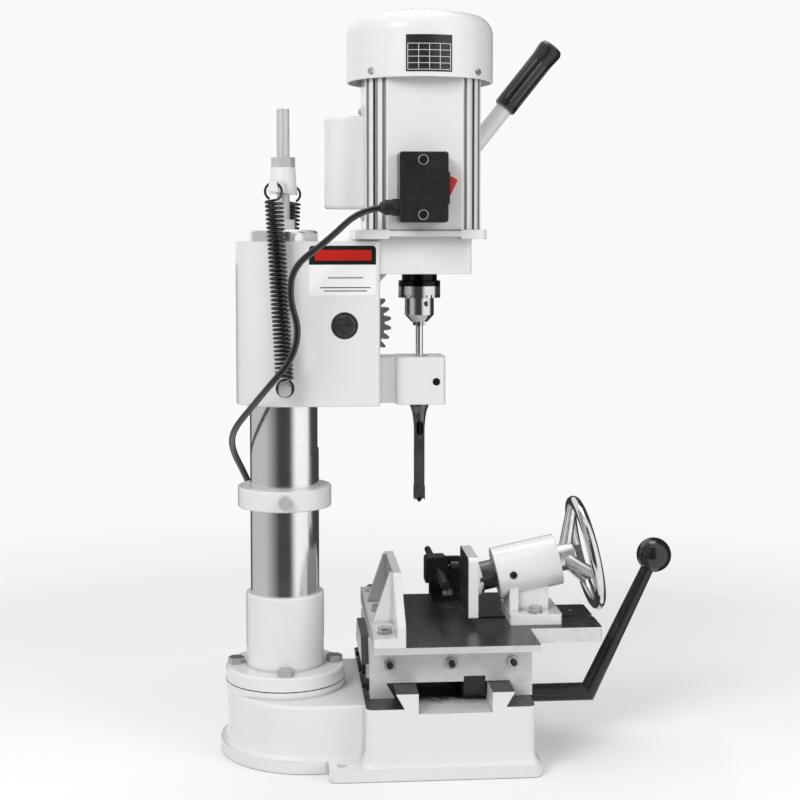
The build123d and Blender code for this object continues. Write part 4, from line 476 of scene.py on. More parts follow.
def edge_group():
    """Rounds a casting's edges in the shading and marks them for wear"""
    tree, given, result = shader_group(
        "Soft edges", {"Radius": 0.0015, "Sharpness": 0.12}, {"Mask": "Float", "Normal": "Vector"})
    softened = node(tree, "ShaderNodeBevel", {"Radius": given["Radius"]}, samples=6)
    flat = node(tree, "ShaderNodeNewGeometry")
    facing = node(tree, "ShaderNodeVectorMath",
                  {0: softened.outputs["Normal"], 1: flat.outputs["Normal"]},
                  operation="DOT_PRODUCT")
    away = reckoned(tree, "SUBTRACT", 1.0, facing.outputs["Value"])
    tree.links.new(spread(tree, away, EDGE_FROM, given["Sharpness"]), result["Mask"])
    tree.links.new(softened.outputs["Normal"], result["Normal"])
    return tree


def crease_group():
    """Marks the corners and grooves of a piece for painted shade, where they are also dusty"""
    tree, given, result = shader_group("Creases", {"Distance": 0.008}, {"Mask": "Float"})
    open_air = node(tree, "ShaderNodeAmbientOcclusion", {"Distance": given["Distance"]},
                    samples=6, only_local=True)
    mask = spread(tree, open_air.outputs["AO"], CREASE_OPEN, CREASE_SHUT)
    tree.links.new(mask, result["Mask"])
    return tree


GROUPS = {"Grain": grain_group, "Soiling": soil_group, "Soft edges": edge_group,
          "Creases": crease_group}


def group(tree, name, **values):
    """Places one of the shared groups in a material, with its own values"""
    made = tree.nodes.new("ShaderNodeGroup")
    made.node_tree = bpy.data.node_groups.get(name) or GROUPS[name]()
    for key, value in values.items():
        made.inputs[key].default_value = value
    return made.outputs


# Finishes


def finish(name, metallic=0.0, coat=0.0, specular=0.5):
    """A new material with its shader, whose constants are set on the shader itself"""
    material = bpy.data.materials.new(name)
    material.use_nodes = True
    shader = material.node_tree.nodes["Principled BSDF"]
    shader.inputs["Metallic"].default_value = metallic
    shader.inputs["Coat Weight"].default_value = coat
    shader.inputs["Coat Roughness"].default_value = COAT_ROUGHNESS
    shader.inputs["Specular IOR Level"].default_value = specular
    return material, material.node_tree, shader


def shade(colour, factor):
    """A colour made darker or brighter"""
    return tuple(c * factor for c in colour) + (1.0,)


def bumped(tree, height, strength, distance, normal=None):
    """Normal of a surface with some relief"""
    made = node(tree, "ShaderNodeBump",
                {"Height": height, "Strength": strength, "Distance": distance})
    if normal is not None:
        tree.links.new(normal, made.inputs["Normal"])
    return made.outputs["Normal"]


def lay_on(tree, shader, colour, roughness, normal):
    """Links what changes over a surface to its shader"""
    tree.links.new(colour, shader.inputs["Base Color"])
    tree.links.new(roughness, shader.inputs["Roughness"])
    tree.links.new(normal, shader.inputs["Normal"])


def shadow_and_grease(tree):
    """Mask of the painted shadow under the saddle on the greased channel floor, with a ragged
    border behind its front end
    """
    ragged = group(tree, "Grain", Scale=70.0, Detail=4.0, Low=0.2, High=0.8)["Mask"]
    depth = reckoned(tree, "MULTIPLY_ADD", ragged, SHADOW_AND_GREASE_RAGGED, along(tree, "Y"))
    return spread(tree, depth, *SHADOW_AND_GREASE_Y, ease="SMOOTHSTEP")


def enamel(name, colour, shaded_greasy=False):
    """Gloss enamel: slight orange peel, painted shade in its dusty creases, soft edges that lose a
    little tone
    """
    material, tree, shader = finish(name, coat=0.25)
    peel = group(tree, "Grain", Scale=330.0, Detail=1.5, Low=0.3, High=0.7)["Mask"]
    cast = group(tree, "Grain", Scale=60.0, Detail=2.0, Low=0.25, High=0.75)["Mask"]
    broad = group(tree, "Grain", Scale=7.0, Detail=2.0, Low=0.3, High=0.7)["Mask"]
    # painted shade: this mask darkens the paint in corners and grooves, which are also dusty
    dust_and_shade = group(tree, "Creases", Distance=0.007)["Mask"]
    edge = group(tree, "Soft edges", Radius=0.0016, Sharpness=0.25)
    tone = shade(colour, 1.0)
    # each mask, how much of it shows, and how bright the paint is there
    for mask, amount, factor in ((cast, 0.5, 0.97), (broad, 0.5, 0.95), (dust_and_shade, 0.75, 0.3),
                                 (edge["Mask"], 0.16, 0.84)):
        tone = laid_over(tree, tone, mask, amount, shade(colour, factor))
    # painted shadow: behind its front end the greased channel floor goes black under the saddle
    if shaded_greasy:
        tone = mixed(tree, shadow_and_grease(tree), tone, SHADOW_AND_GREASE_BLACK)
    lumps = reckoned(tree, "MULTIPLY_ADD", cast, PAINT_LUMPS, peel)
    relief = bumped(tree, lumps, strength=0.10, distance=0.0006, normal=edge["Normal"])
    lay_on(tree, shader, tone, ranged(tree, broad, *ENAMEL_ROUGHNESS), relief)
    return material


def tooled(name, colour, stretch, scale, rough, metallic=1.0, stain=0.25, depth=0.08, edges=True,
           contrast=0.12, patch=22.0, dark_from=None, dark_below=None):
    """Bare metal with drawn-out tool marks, oil stains and brighter edges"""
    material, tree, shader = finish(name, metallic=metallic)
    marks = group(tree, "Grain", Scale=scale, Stretch=stretch, Detail=4.0, Low=0.28,
                  High=0.72)["Mask"]
    soil = group(tree, "Soiling", Scale=patch, Cover=0.26)["Mask"]
    tone = mixed(tree, marks, shade(colour, 1 - contrast), shade(colour, 1 + contrast * MARK_LIFT))
    oiled = tuple(c * left for c, left in zip(colour, OILED)) + (1,)
    tone = laid_over(tree, tone, soil, stain, oiled)
    if dark_from is not None:
        tone = mixed(tree, above(tree, dark_from), tone, BAND_BLACK)
    if dark_below is not None:
        tone = mixed(tree, above(tree, dark_below), FLUTE_BLACK, tone)
    if edges:
        edge = group(tree, "Soft edges", Radius=0.0009, Sharpness=0.3)["Mask"]
        tone = laid_over(tree, tone, edge, EDGE_WEAR, shade(colour, EDGE_BRIGHT))
    dull = reckoned(tree, "MULTIPLY_ADD", marks, MARK_DULL, soil)
    relief = bumped(tree, marks, depth, distance=0.0004)
    lay_on(tree, shader, tone, ranged(tree, dull, *rough), relief)
    return material


def moulded(name, colour, rough, scale=900.0, depth=0.12, coat=0.0, contrast=0.15, dusty=0.2):
    """Moulded plastic or rubber with a fine skin and a little dust"""
    material, tree, shader = finish(name, coat=coat)
    skin = group(tree, "Grain", Scale=scale, Detail=2.0, Low=0.3, High=0.7)["Mask"]
    dust_and_shade = group(tree, "Soiling", Scale=16.0, Cover=0.24)["Mask"]
    edge = group(tree, "Soft edges", Radius=0.0009, Sharpness=0.3)["Mask"]
    tone = mixed(tree, skin, shade(colour, 1 - contrast), shade(colour, 1 + contrast))
    grey = tuple(c * DUSTED + DUST_GREY for c in colour) + (1,)
    tone = laid_over(tree, tone, dust_and_shade, dusty, grey)
    tone = laid_over(tree, tone, edge, EDGE_RUB, grey)
    relief = bumped(tree, skin, depth, distance=0.0003)
    lay_on(tree, shader, tone, ranged(tree, dust_and_shade, *rough), relief)
    return material


FINISHES = {}


def finishes():
    """Every finish of the machine, made once"""
    if FINISHES:
        return FINISHES
    c = bpy.context.scene.mortiser_colours
    FINISHES.update({
        "enamel": enamel("gloss enamel", c.paint),
        # painted shadow under the saddle on the greased channel floor
        "channel": enamel("greasy enamel", c.paint, shaded_greasy=True),
        # painted shade: the grey of the shaded bay behind the fence
        "fence_shade": enamel("grey primer", c.fence_shade),
        "ground": tooled(
            "ground steel", c.ground, (0.04, 0.04, 1.0), 800.0, (0.16, 0.21), stain=0.03,
            depth=0.003, edges=False, contrast=0.04),
        # painted shade and reflection: dark bare metal for the dark bands in the housing's grooves
        "groove_shade": tooled(
            "bare groove", c.groove_shade, (1, 1, 0.05), 300.0, (0.3, 0.42), metallic=0.3, stain=0.15,
            depth=0.02, edges=False, contrast=0.06),
        "milled": tooled(
            "milled iron", c.milled, (0.08, 1.0, 1.0), 500.0, (0.3, 0.5), metallic=0.3, stain=0.25,
            depth=0.03, contrast=0.06, patch=13.0),
        # dark oiled iron; in the slides' undercuts it is also painted shade
        "worn_and_shaded": tooled(
            "worn slide", c.worn_and_shaded, (1.0, 0.08, 1.0), 420.0, (0.3, 0.5), metallic=0.7, stain=0.4),
        "table": tooled(
            "oiled table", c.table, (1.0, 0.08, 1.0), 420.0, (0.24, 0.3), metallic=0.25,
            stain=0.25, depth=0.002, contrast=0.04, edges=False),
        "zinc": tooled(
            "zinc plate", c.zinc, EVEN, 260.0, (0.14, 0.26), metallic=0.82, stain=0.12,
            depth=0.006, contrast=0.06),
        "galvanised": tooled(
            "galvanised steel", c.galvanised, EVEN, 260.0, (0.26, 0.4), metallic=0.4, stain=0.15,
            depth=0.01, contrast=0.05),
        "dark": tooled(
            "dark steel", c.dark, (1, 1, 0.2), 420.0, (0.28, 0.45), stain=0.3, depth=0.02),
        "cut": tooled(
            "cut gear steel", c.cut, (1, 0.2, 1), 420.0, (0.26, 0.42), metallic=0.6, stain=0.3,
            depth=0.02),
        "black": tooled(
            "black oxide", c.black, EVEN, 260.0, (0.2, 0.32), metallic=0.1, stain=0.15,
            depth=0.008),
        "spring": tooled(
            "oiled spring wire", SPRING_STEEL, EVEN, 300.0, (0.08, 0.15), stain=0.1, depth=0.01,
            edges=False),
        "chrome": tooled(
            "chrome", c.chrome, EVEN, 40.0, (0.05, 0.16), stain=0.06, depth=0.01, edges=False,
            contrast=0.05),
        "satin": tooled(
            "satin chrome", c.chrome, EVEN, 160.0, (0.22, 0.34), stain=0.12, depth=0.03,
            edges=False, contrast=0.08),
        "chuck": tooled(
            "chuck chrome", c.chrome, (1, 1, 0.1), 90.0, (0.06, 0.14), stain=0.06, depth=0.01,
            edges=False, contrast=0.05, dark_from=CHUCK_BAND_Z),
        "tool": tooled(
            "bright tool steel", c.ground, (1, 1, 0.1), 700.0, (0.12, 0.26), stain=0.15,
            depth=0.01, contrast=0.06),
        "auger": tooled(
            "auger steel", c.ground, (1, 1, 0.1), 700.0, (0.12, 0.26), stain=0.15, depth=0.01,
            contrast=0.06, dark_below=AUGER_DARK_Z),
        "plate": tooled(
            "blackened plate", PLATE_BLACK, (0.08, 0.08, 1.0), 600.0, (0.22, 0.34), metallic=0.6,
            stain=0.1),
        "winding": tooled(
            "lacquered winding", c.copper, (1, 1, 0.05), 900.0, (0.3, 0.45), metallic=0.6,
            edges=False),
        "plastic": moulded(
            "black plastic", c.plastic, (0.28, 0.4), depth=0.03, contrast=0.08, dusty=0.1),
        "ball": moulded(
            "polished ball", c.plastic, (0.05, 0.1), depth=0.004, coat=0.3, contrast=0.03,
            dusty=0.04),
        "rocker": moulded("red rocker", c.rocker, (0.25, 0.4), depth=0.04, dusty=0.1),
        "rubber": moulded("grip rubber", c.rubber, (0.24, 0.36), scale=600.0, depth=0.06),
        # painted highlight: paler rubber for the highlight lines along the grip
        "grip_highlight": moulded("rubbed rubber", GRIP_HIGHLIGHT_RUBBER, (0.24, 0.36), scale=600.0, depth=0.02),
        "cord": moulded(
            "cord rubber", c.rubber, (0.18, 0.28), scale=500.0, depth=0.03, coat=0.6, dusty=0.08),
        "print_white": moulded(
            "printed white", PRINT_WHITE, (0.2, 0.3), depth=0.01, contrast=0.03, dusty=0.06),
        "print_black": moulded("printed black", c.plastic, (0.2, 0.3), depth=0.01, dusty=0.06),
        "print_red": moulded(
            "printed red", c.label_red, (0.2, 0.3), depth=0.01, contrast=0.06, dusty=0.06),
        "print_silver": moulded(
            "printed silver", PRINT_SILVER, (0.2, 0.3), depth=0.01, contrast=0.03, dusty=0.06),
    })
    return FINISHES


def dress(finish_name, *names):
    """Gives frame nodes one of the finishes"""
    for name in names:
        NODES[name].data.materials.clear()
        NODES[name].data.materials.append(finishes()[finish_name])


def dress_where(finish_name, name, chosen):
    """Gives another finish to those faces of a node that a test picks, by centre and normal"""
    mesh = NODES[name].data
    mesh.materials.append(finishes()[finish_name])
    for face in mesh.polygons:
        if chosen(face.center / MM, face.normal):
            face.material_index = len(mesh.materials) - 1


# Meshes


def geometry_tree(name, source, inputs):
    """A geometry tree with the sockets of its source, its sizes and its finish"""
    tree = bpy.data.node_groups.new(name, "GeometryNodeTree")
    sockets(tree, "INPUT", {source: "Geometry", **inputs, "Finish": "Material"})
    sockets(tree, "OUTPUT", {"Made": "Geometry"})
    return tree, tree.nodes.new("NodeGroupInput").outputs


def close_tree(tree, given, geometry):
    """Ends a geometry tree in real faces with their finish"""
    plain = node(tree, "GeometryNodeRealizeInstances", {"Geometry": geometry})
    coloured = node(tree, "GeometryNodeSetMaterial",
                    {"Geometry": plain.outputs["Geometry"], "Material": given["Finish"]})
    result = tree.nodes.new("NodeGroupOutput").inputs
    tree.links.new(coloured.outputs["Geometry"], result["Made"])
    return tree


def circle(tree, points, radius):
    """A round path"""
    return node(tree, "GeometryNodeCurvePrimitiveCircle",
                {"Resolution": points, "Radius": radius}, mode="RADIUS").outputs["Curve"]


def swept(tree, path, sides, radius, capped):
    """A smooth round wire along a path"""
    tube = node(tree, "GeometryNodeCurveToMesh", {
        "Curve": path, "Profile Curve": circle(tree, sides, radius), "Fill Caps": capped})
    return node(tree, "GeometryNodeSetShadeSmooth",
                {"Geometry": tube.outputs["Mesh"]}).outputs["Geometry"]


def wire_tree():
    """Geometry nodes: a round wire along a path"""
    tree, given = geometry_tree("Wire on a path", "Path", {"Radius": "Float", "Sides": "Int"})
    tube = swept(tree, given["Path"], given["Sides"], given["Radius"], capped=True)
    return close_tree(tree, given, tube)


def rings_tree():
    """Geometry nodes: a ring on every point of a mesh"""
    tree, given = geometry_tree(
        "Rings on points", "Points", {"Radius": "Float", "Wire": "Float", "Turn": "Rotation"})
    path = circle(tree, RING_POINTS, given["Radius"])
    ring = swept(tree, path, RING_SIDES, given["Wire"], capped=False)
    placed = node(tree, "GeometryNodeInstanceOnPoints", {
        "Points": given["Points"], "Instance": ring, "Rotation": given["Turn"]})
    return close_tree(tree, given, placed.outputs["Instances"])


def lines_tree():
    """Geometry nodes: ruled lines across and up a plate"""
    tree, given = geometry_tree("Ruled lines", "Plate", {
        "Wide": "Float", "High": "Float", "Line": "Float", "Across": "Int", "Up": "Int"})
    joined = tree.nodes.new("GeometryNodeJoinGeometry")
    # a line that runs round the cap has a joint at each of the plate's strips
    for count, span, long, axis, step, joints in (
            (given["Across"], given["High"], given["Wide"], "X", "Z", PLATE_STRIPS + 1),
            (given["Up"], given["Wide"], given["High"], "Z", "X", 2)):
        ends = [node(tree, "ShaderNodeCombineXYZ",
                     {step: reckoned(tree, "MULTIPLY", span, half)}).outputs[0]
                for half in (-0.5, 0.5)]
        spots = node(tree, "GeometryNodeMeshLine",
                     {"Count": count, "Start Location": ends[0], "Offset": ends[1]},
                     mode="END_POINTS")
        size = node(tree, "ShaderNodeCombineXYZ", {
            axis: reckoned(tree, "ADD", long, given["Line"]), step: given["Line"],
            "Y": given["Line"]})
        bar = node(tree, "GeometryNodeMeshCube", {"Size": size.outputs[0], "Vertices X": joints})
        bars = node(tree, "GeometryNodeInstanceOnPoints",
                    {"Points": spots.outputs["Mesh"], "Instance": bar.outputs["Mesh"]})
        tree.links.new(bars.outputs["Instances"], joined.inputs[0])
    return close_tree(tree, given, joined.outputs["Geometry"])


TREES = {"Wire on a path": wire_tree, "Rings on points": rings_tree, "Ruled lines": lines_tree}


def linked(name, data):
    """A new object in the scene, at the origin"""
    made = bpy.data.objects.new(name, data)
    bpy.context.collection.objects.link(made)
    return made


def points_object(name, places):
    """A mesh of loose points"""
    mesh = bpy.data.meshes.new(name)
    mesh.from_pydata(places, [], [])
    return linked(name, mesh)


def path_object(name, points, kind="POLY"):
    """A curve object with one open spline through or along the points"""
    curve = bpy.data.curves.new(name, "CURVE")
    curve.dimensions = "3D"
    spline = curve.splines.new(kind)
    spline.points.add(len(points) - 1)
    for point, place in zip(spline.points, points):
        point.co = (*place, 1.0)
    if kind == "NURBS":
        spline.order_u = 3
        spline.use_endpoint_u = True
        spline.resolution_u = 6
    return linked(name, curve)


def grown(source, name):
    """The evaluated form of an object as a plain mesh object; the source is removed"""
    bpy.context.view_layer.update()
    depsgraph = bpy.context.evaluated_depsgraph_get()
    mesh = bpy.data.meshes.new_from_object(source.evaluated_get(depsgraph))
    mesh.name = name
    data = source.data
    bpy.data.objects.remove(source)
    if isinstance(data, bpy.types.Curve):
        bpy.data.curves.remove(data)
    else:
        bpy.data.meshes.remove(data)
    return linked(name, mesh)


def by_tree(source, tree, name, **values):
    """What a tree makes of an object, as a plain mesh"""
    modifier = source.modifiers.new("made", "NODES")
    modifier.node_group = bpy.data.node_groups.get(tree) or TREES[tree]()
    # an input is set by its socket's identifier
    identifiers = {item.name: item.identifier
                   for item in modifier.node_group.interface.items_tree if item.in_out == "INPUT"}
    for label, value in values.items():
        modifier[identifiers[label]] = value
    return grown(source, name)


def wire(name, points, radius, sides, finish_name):
    """A round wire through the points, as a plain mesh"""
    return by_tree(path_object(name + ".path", points), "Wire on a path", name, Radius=radius,
                   Sides=sides, Finish=finishes()[finish_name])


def rings(name, places, radius, turn, finish_name):
    """Wire rings at places in millimetres, as a plain mesh"""
    points = points_object(name + ".points", [Vector(place) * MM for place in places])
    return by_tree(points, "Rings on points", name, Radius=radius * MM, Wire=RING_WIRE * MM,
                   Turn=turn, Finish=finishes()[finish_name])


def formed(name, form):
    """A finished form as an object"""
    mesh = bpy.data.meshes.new(name)
    form.to_mesh(mesh)
    form.free()
    return linked(name, mesh)


# Cord


def coil_points():
    """The coil's half turns, inwards on the floor, one that climbs, and outwards on top"""
    points = []
    x, y = COIL_START
    z = COIL_LOW
    heading = 1.0
    for turn, radius in enumerate(COIL_RADII):
        rise = COIL_STEP if turn == COIL_CLIMB else 0.0
        middle = y + heading * radius
        out = radius / math.cos(math.pi / COIL_POINTS / 2)
        for n in range(COIL_POINTS):
            share = (n + 0.5) / COIL_POINTS
            a = math.pi * share
            points.append((x + heading * out * math.sin(a), middle - heading * out * math.cos(a),
                           z + rise * share * share * (3 - 2 * share)))
        y += 2 * heading * radius
        z += rise
        heading = -heading
    return points


class MORTISER_OT_cord(bpy.types.Operator):
    """Mains lead from the gland, round the column and down to its coil behind the base"""
    bl_idname = "mortiser.cord"
    bl_label = "Cord"

    def execute(self, context):
        sizes = context.scene.mortiser_sizes
        route = [Vector(p) * MM for p in LEAD + coil_points() + list(COIL_END)]
        line = grown(path_object("cord.route", route, "NURBS"), "cord.line")
        path = [tuple(v.co) for v in line.data.vertices]
        bpy.data.objects.remove(line)
        cord = wire("cord", path, sizes.cord_diameter / 2, CORD_SIDES, "cord")
        dress("plastic", "plug", "cord_tie", "cable_gland")
        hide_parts("cord_head", "cord_hang", "cord_coil")
        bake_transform(cord)
        return {"FINISHED"}


# Springs


def between(a, way_a, b, way_b):
    """Points on a smooth bend from one place and direction to another"""
    points = []
    for n in range(1, BEND_POINTS):
        t = n / BEND_POINTS
        points.append(a * (2 * t ** 3 - 3 * t ** 2 + 1) + way_a * (t ** 3 - 2 * t ** 2 + t)
                      + b * (3 * t ** 2 - 2 * t ** 3) + way_b * (t ** 3 - t ** 2))
    return points


def spring_path(side, radius, turns):
    """A tension spring from the hanger's arm to the head's bolt, with a round loop at each end"""
    turn = math.radians(HANGER_TURN)
    hanger = Vector((-math.sin(turn), -math.cos(turn), 0)) * side
    top = (Vector((COLUMN_X, 0, HANGER_Z)) + hanger * HANGER_R) * MM
    low = Vector((COLUMN_X, -side * HOOK_Y, HOOK_Z)) * MM
    up = (top - low).normalized()
    out = Vector((0, -side, 0))
    e2 = (out - up * out.dot(up)).normalized()
    e1 = e2.cross(up)
    long = (top - low).length
    gap = radius + LOOP_GAP * MM
    bend = BEND_REACH * radius

    def loop(centre, degrees):
        """A place on an end's loop"""
        a = math.radians(degrees)
        return centre + (e1 * math.cos(a) + up * math.sin(a)) * radius

    def coil(share):
        """A place on the turns, by the share of their length"""
        a = math.pi / 2 - 2 * math.pi * turns * share
        return top - up * (long * share) + (e1 * math.cos(a) + e2 * math.sin(a)) * radius

    points = [loop(top + up * gap, a) for a in range(180 - LOOP_ARC, 181, LOOP_STEP)]
    points += between(points[-1], up * -bend, coil(0), e1 * bend)
    steps = turns * TURN_POINTS
    points += [coil(n / steps) for n in range(steps + 1)]
    last = loop(low - up * gap, 0)
    points += between(points[-1], e1 * bend, last, up * -bend)
    points += [loop(low - up * gap, -a) for a in range(0, LOOP_ARC + 1, LOOP_STEP)]
    return points, top, low


class MORTISER_OT_springs(bpy.types.Operator):
    """The two return springs between the hanger and the head"""
    bl_idname = "mortiser.springs"
    bl_label = "Return springs"

    def execute(self, context):
        sizes = context.scene.mortiser_sizes
        for name, side in (("spring_front", 1), ("spring_rear", -1)):
            points, top, low = spring_path(side, sizes.spring_radius, sizes.spring_turns)
            spring = wire("wound_" + name, points, sizes.spring_wire / 2, SPRING_SIDES, "spring")
            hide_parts(name)
            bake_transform(spring)
        return {"FINISHED"}


# Plates and small hardware


def outline(x0, x1, z0, z1, low_corner=0.0, high_corner=0.0, steps=5):
    """Outline of a plate, from its lower left corner round, with its corners' radii"""
    corners = ((x0, z0, 180, low_corner), (x1, z0, 270, low_corner),
               (x1, z1, 0, high_corner), (x0, z1, 90, high_corner))
    points = []
    for x, z, start, r in corners:
        if r == 0:
            points.append((x, z))
            continue
        cx = x + r if x == x0 else x - r
        cz = z + r if z == z0 else z - r
        for n in range(steps + 1):
            a = math.radians(start + 90 * n / steps)
            points.append((cx + r * math.cos(a), cz + r * math.sin(a)))
    return points


def slab(form, points, front, back, index):
    """Adds a plate of some thickness to a mesh that is being made, facing the front"""
    near = [form.verts.new((x * MM, front * MM, z * MM)) for x, z in points]
    far = [form.verts.new((x * MM, back * MM, z * MM)) for x, z in points]
    faces = [form.faces.new(near), form.faces.new(far[::-1])]
    for n in range(len(points)):
        m = (n + 1) % len(points)
        faces.append(form.faces.new((near[n], far[n], far[m], near[m])))
    for face in faces:
        face.material_index = index


def plate_object(name, form, *finish_names):
    """A plate with its finishes, its faces turned outwards"""
    bmesh.ops.recalc_face_normals(form, faces=form.faces)
    made = formed(name, form)
    for finish_name in finish_names:
        made.data.materials.append(finishes()[finish_name])
    return made


def moved(piece, move):
    """Puts a piece's mesh in its place; the object itself stays at the origin"""
    for vertex in piece.data.vertices:
        vertex.co = move(vertex.co)
    piece.data.update()


def head_label():
    """A label with a black band, a red bar and three lines"""
    x0, x1, z0, z1 = LABEL
    band = z1 - LABEL_BAND
    front = LABEL_FACE - PRINT_T
    back = LABEL_FACE + PRINT_BED
    form = bmesh.new()
    slab(form, outline(x0, x1, z0, band, low_corner=LABEL_CORNER), front, back, 0)
    slab(form, outline(x0, x1, band, z1, high_corner=LABEL_CORNER), front, back, 1)
    bar = outline(x0 + BAR_LEFT, x1 - BAR_RIGHT, band + BAR_EDGE, z1 - BAR_EDGE, BAR_CORNER,
                  BAR_CORNER)
    slab(form, bar, front - BAR_RISE, front + INK_BED, 2)
    middle = (x0 + x1) / 2 + LABEL_LINE_SHIFT
    for rise, long in LABEL_LINES:
        low = z0 + rise
        line = outline(middle - long / 2, middle + long / 2, low, low + LABEL_LINE_T)
        slab(form, line, front - LABEL_LINE_RISE, front + INK_BED, 3)
    return plate_object("head_label", form, "print_white", "print_black", "print_red", "dark")


def cap_plate(wide, high):
    """A flat plate in strips, so that it can be bent round the cap"""
    form = bmesh.new()
    for n in range(PLATE_STRIPS):
        left = wide * (n / PLATE_STRIPS - 0.5)
        strip = outline(left, left + wide / PLATE_STRIPS, -high / 2, high / 2)
        slab(form, strip, -PRINT_T, PRINT_BED, 0)
    bmesh.ops.remove_doubles(form, verts=form.verts, dist=STRIP_MERGE * MM)
    inner = [face for face in form.faces if abs(face.normal.x) > FACING
             and abs(abs(face.calc_center_median().x) - wide / 2 * MM) > STRIP_NEAR * MM]
    bmesh.ops.delete(form, geom=inner, context="FACES_ONLY")
    return plate_object("rating_plate", form, "plate")


def cap_grid(wide, high):
    """A flat grid of ruled lines for the plate"""
    lines = by_tree(points_object("plate.lines", []), "Ruled lines", "rating_lines",
                    Wide=(wide - GRID_MARGIN[0]) * MM, High=(high - GRID_MARGIN[1]) * MM,
                    Line=GRID_LINE_T * MM, Across=GRID_LINES, Up=GRID_LINES,
                    Finish=finishes()["print_silver"])
    moved(lines, lambda place: place + Vector((0, -PRINT_T * MM, -GRID_DROP * MM)))
    return lines


class MORTISER_OT_plates(bpy.types.Operator):
    """Plain label on the head and ruled plate on the motor's cap"""
    bl_idname = "mortiser.plates"
    bl_label = "Label and plate"

    def execute(self, context):
        label = head_label()
        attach(label, "head")

        turn0, turn1 = (math.radians(a) for a in PLATE_TURN)
        wide = CAP_R * (turn1 - turn0)
        high = PLATE_Z[1] - PLATE_Z[0]

        def bend(place):
            """Where a place on the flat plate comes to lie round the cap"""
            turn = (turn0 + turn1) / 2 + place.x / (CAP_R * MM)
            out = CAP_R * MM - place.y
            return Vector((SPINDLE_X * MM + out * math.sin(turn), -out * math.cos(turn),
                           place.z + sum(PLATE_Z) / 2 * MM))

        plate = cap_plate(wide, high)
        lines = cap_grid(wide, high)
        for piece, slot in ((plate, "black_steel"), (lines, "zinc_steel")):
            moved(piece, bend)
            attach(piece, "head")
        return {"FINISHED"}


class MORTISER_OT_hardware(bpy.types.Operator):
    """Thread on the hanger rod, rings round the switch lid's screws, seam under the flange"""
    bl_idname = "mortiser.hardware"
    bl_label = "Thread and screw seats"

    def execute(self, context):
        pitch = context.scene.mortiser_sizes.thread_pitch
        low, high = THREAD_Z
        points = []
        for n in range(int((high - low) * MM / pitch * THREAD_POINTS) + 1):
            turns = n / THREAD_POINTS
            a = 2 * math.pi * turns
            points.append((COLUMN_X * MM + THREAD_R * MM * math.cos(a),
                           THREAD_R * MM * math.sin(a), low * MM + pitch * turns))
        thread = wire("rod_thread", points, THREAD_WIRE * MM, THREAD_SIDES, "galvanised")
        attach(thread, "base")
        seats = rings("lid_screw_seats", LID_SCREWS, LID_SEAT_R, (math.pi / 2, 0.0, 0.0), "zinc")
        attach(seats, "head")
        seam = rings("flange_seam", [FLANGE_SEAM], FLANGE_SEAM_R, (0.0, 0.0, 0.0), "black")
        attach(seam, "base")
        return {"FINISHED"}


# Finishes of the frame's own pieces


def off_axis(place, foot, degrees):
    """Distance from an axis that goes up from a foot towards +X, by some degrees"""
    turn = math.radians(degrees)
    axis = Vector((math.cos(turn), 0, math.sin(turn)))
    out = place - Vector(foot)
    return (out - axis * out.dot(axis)).length


def in_groove(centre, normal):
    """Whether a face of the motor's housing lies in a tie rod's channel or a flute"""
    x = abs(centre.x - SPINDLE_X)
    y = abs(centre.y)
    turn = abs(math.degrees(math.atan2(y, x)) - ROD_TURN)
    out = math.hypot(x, y)
    if turn < ROD_CHANNEL_TURN:
        return ROD_CHANNEL_R < out < HOUSING_SKIN_R
    return abs(turn - FLUTE_TURN) < FLUTE_HALF_TURN and FLUTE_R < out < HOUSING_SKIN_R


def on_front_nut(centre, normal):
    """Whether a face of the gib screws belongs to a nut at the front"""
    if centre.y > GIB_FRONT_Y:
        return False
    return min(math.hypot(centre.x - x, centre.z - GIB_Z) for x in GIB_X) > GIB_SCREW_R


class MORTISER_OT_castings(bpy.types.Operator):
    """Gloss enamel on the castings and covers"""
    bl_idname = "mortiser.castings"
    bl_label = "Painted castings"

    def execute(self, context):
        dress("enamel", "base_casting", "column_socket", "head_casting", "motor_shields",
              "motor_housing", "fan_cover", "capacitor_cover", "fence", "vise_body", "jaw_plate",
              "stop_collar", "handle_tube", "spring_hanger")
        # the base's dovetail is bare dark iron, and in its undercuts that dark is also painted
        # shade; its channel is greased and has a painted shadow under the saddle
        dress_where("worn_and_shaded", "base_casting", lambda c, n: c.x > BLOCK_X and c.z > DOVETAIL_Z
                    and (n.z > FACING or n.z < -SLANTED))
        dress_where("channel", "base_casting", lambda c, n: CHANNEL_X[0] < c.x < CHANNEL_X[1]
                    and CHANNEL_Z < c.z < DOVETAIL_Z and n.z > FACING)
        # the jaw's face is bare
        dress_where("dark", "jaw_plate", lambda c, n: n.x < -FACING)
        # painted shade: behind the fence, the bay between its ribs is painted grey for the shade
        # there
        dress_where("fence_shade", "fence", lambda c, n: abs(c.y) < FENCE_BAY_Y
                    and c.x < FENCE_BACK_X and c.z > FENCE_FOOT_Z)
        # painted shade and reflection: the housing's grooves are given a dark bare metal for the
        # dark bands there
        dress_where("groove_shade", "motor_housing", in_groove)
        # the depth collar's clamp bolt is plated
        dress_where("galvanised", "stop_collar",
                    lambda c, n: math.hypot(c.x - COLUMN_X, c.y) > COLLAR_R)
        return {"FINISHED"}


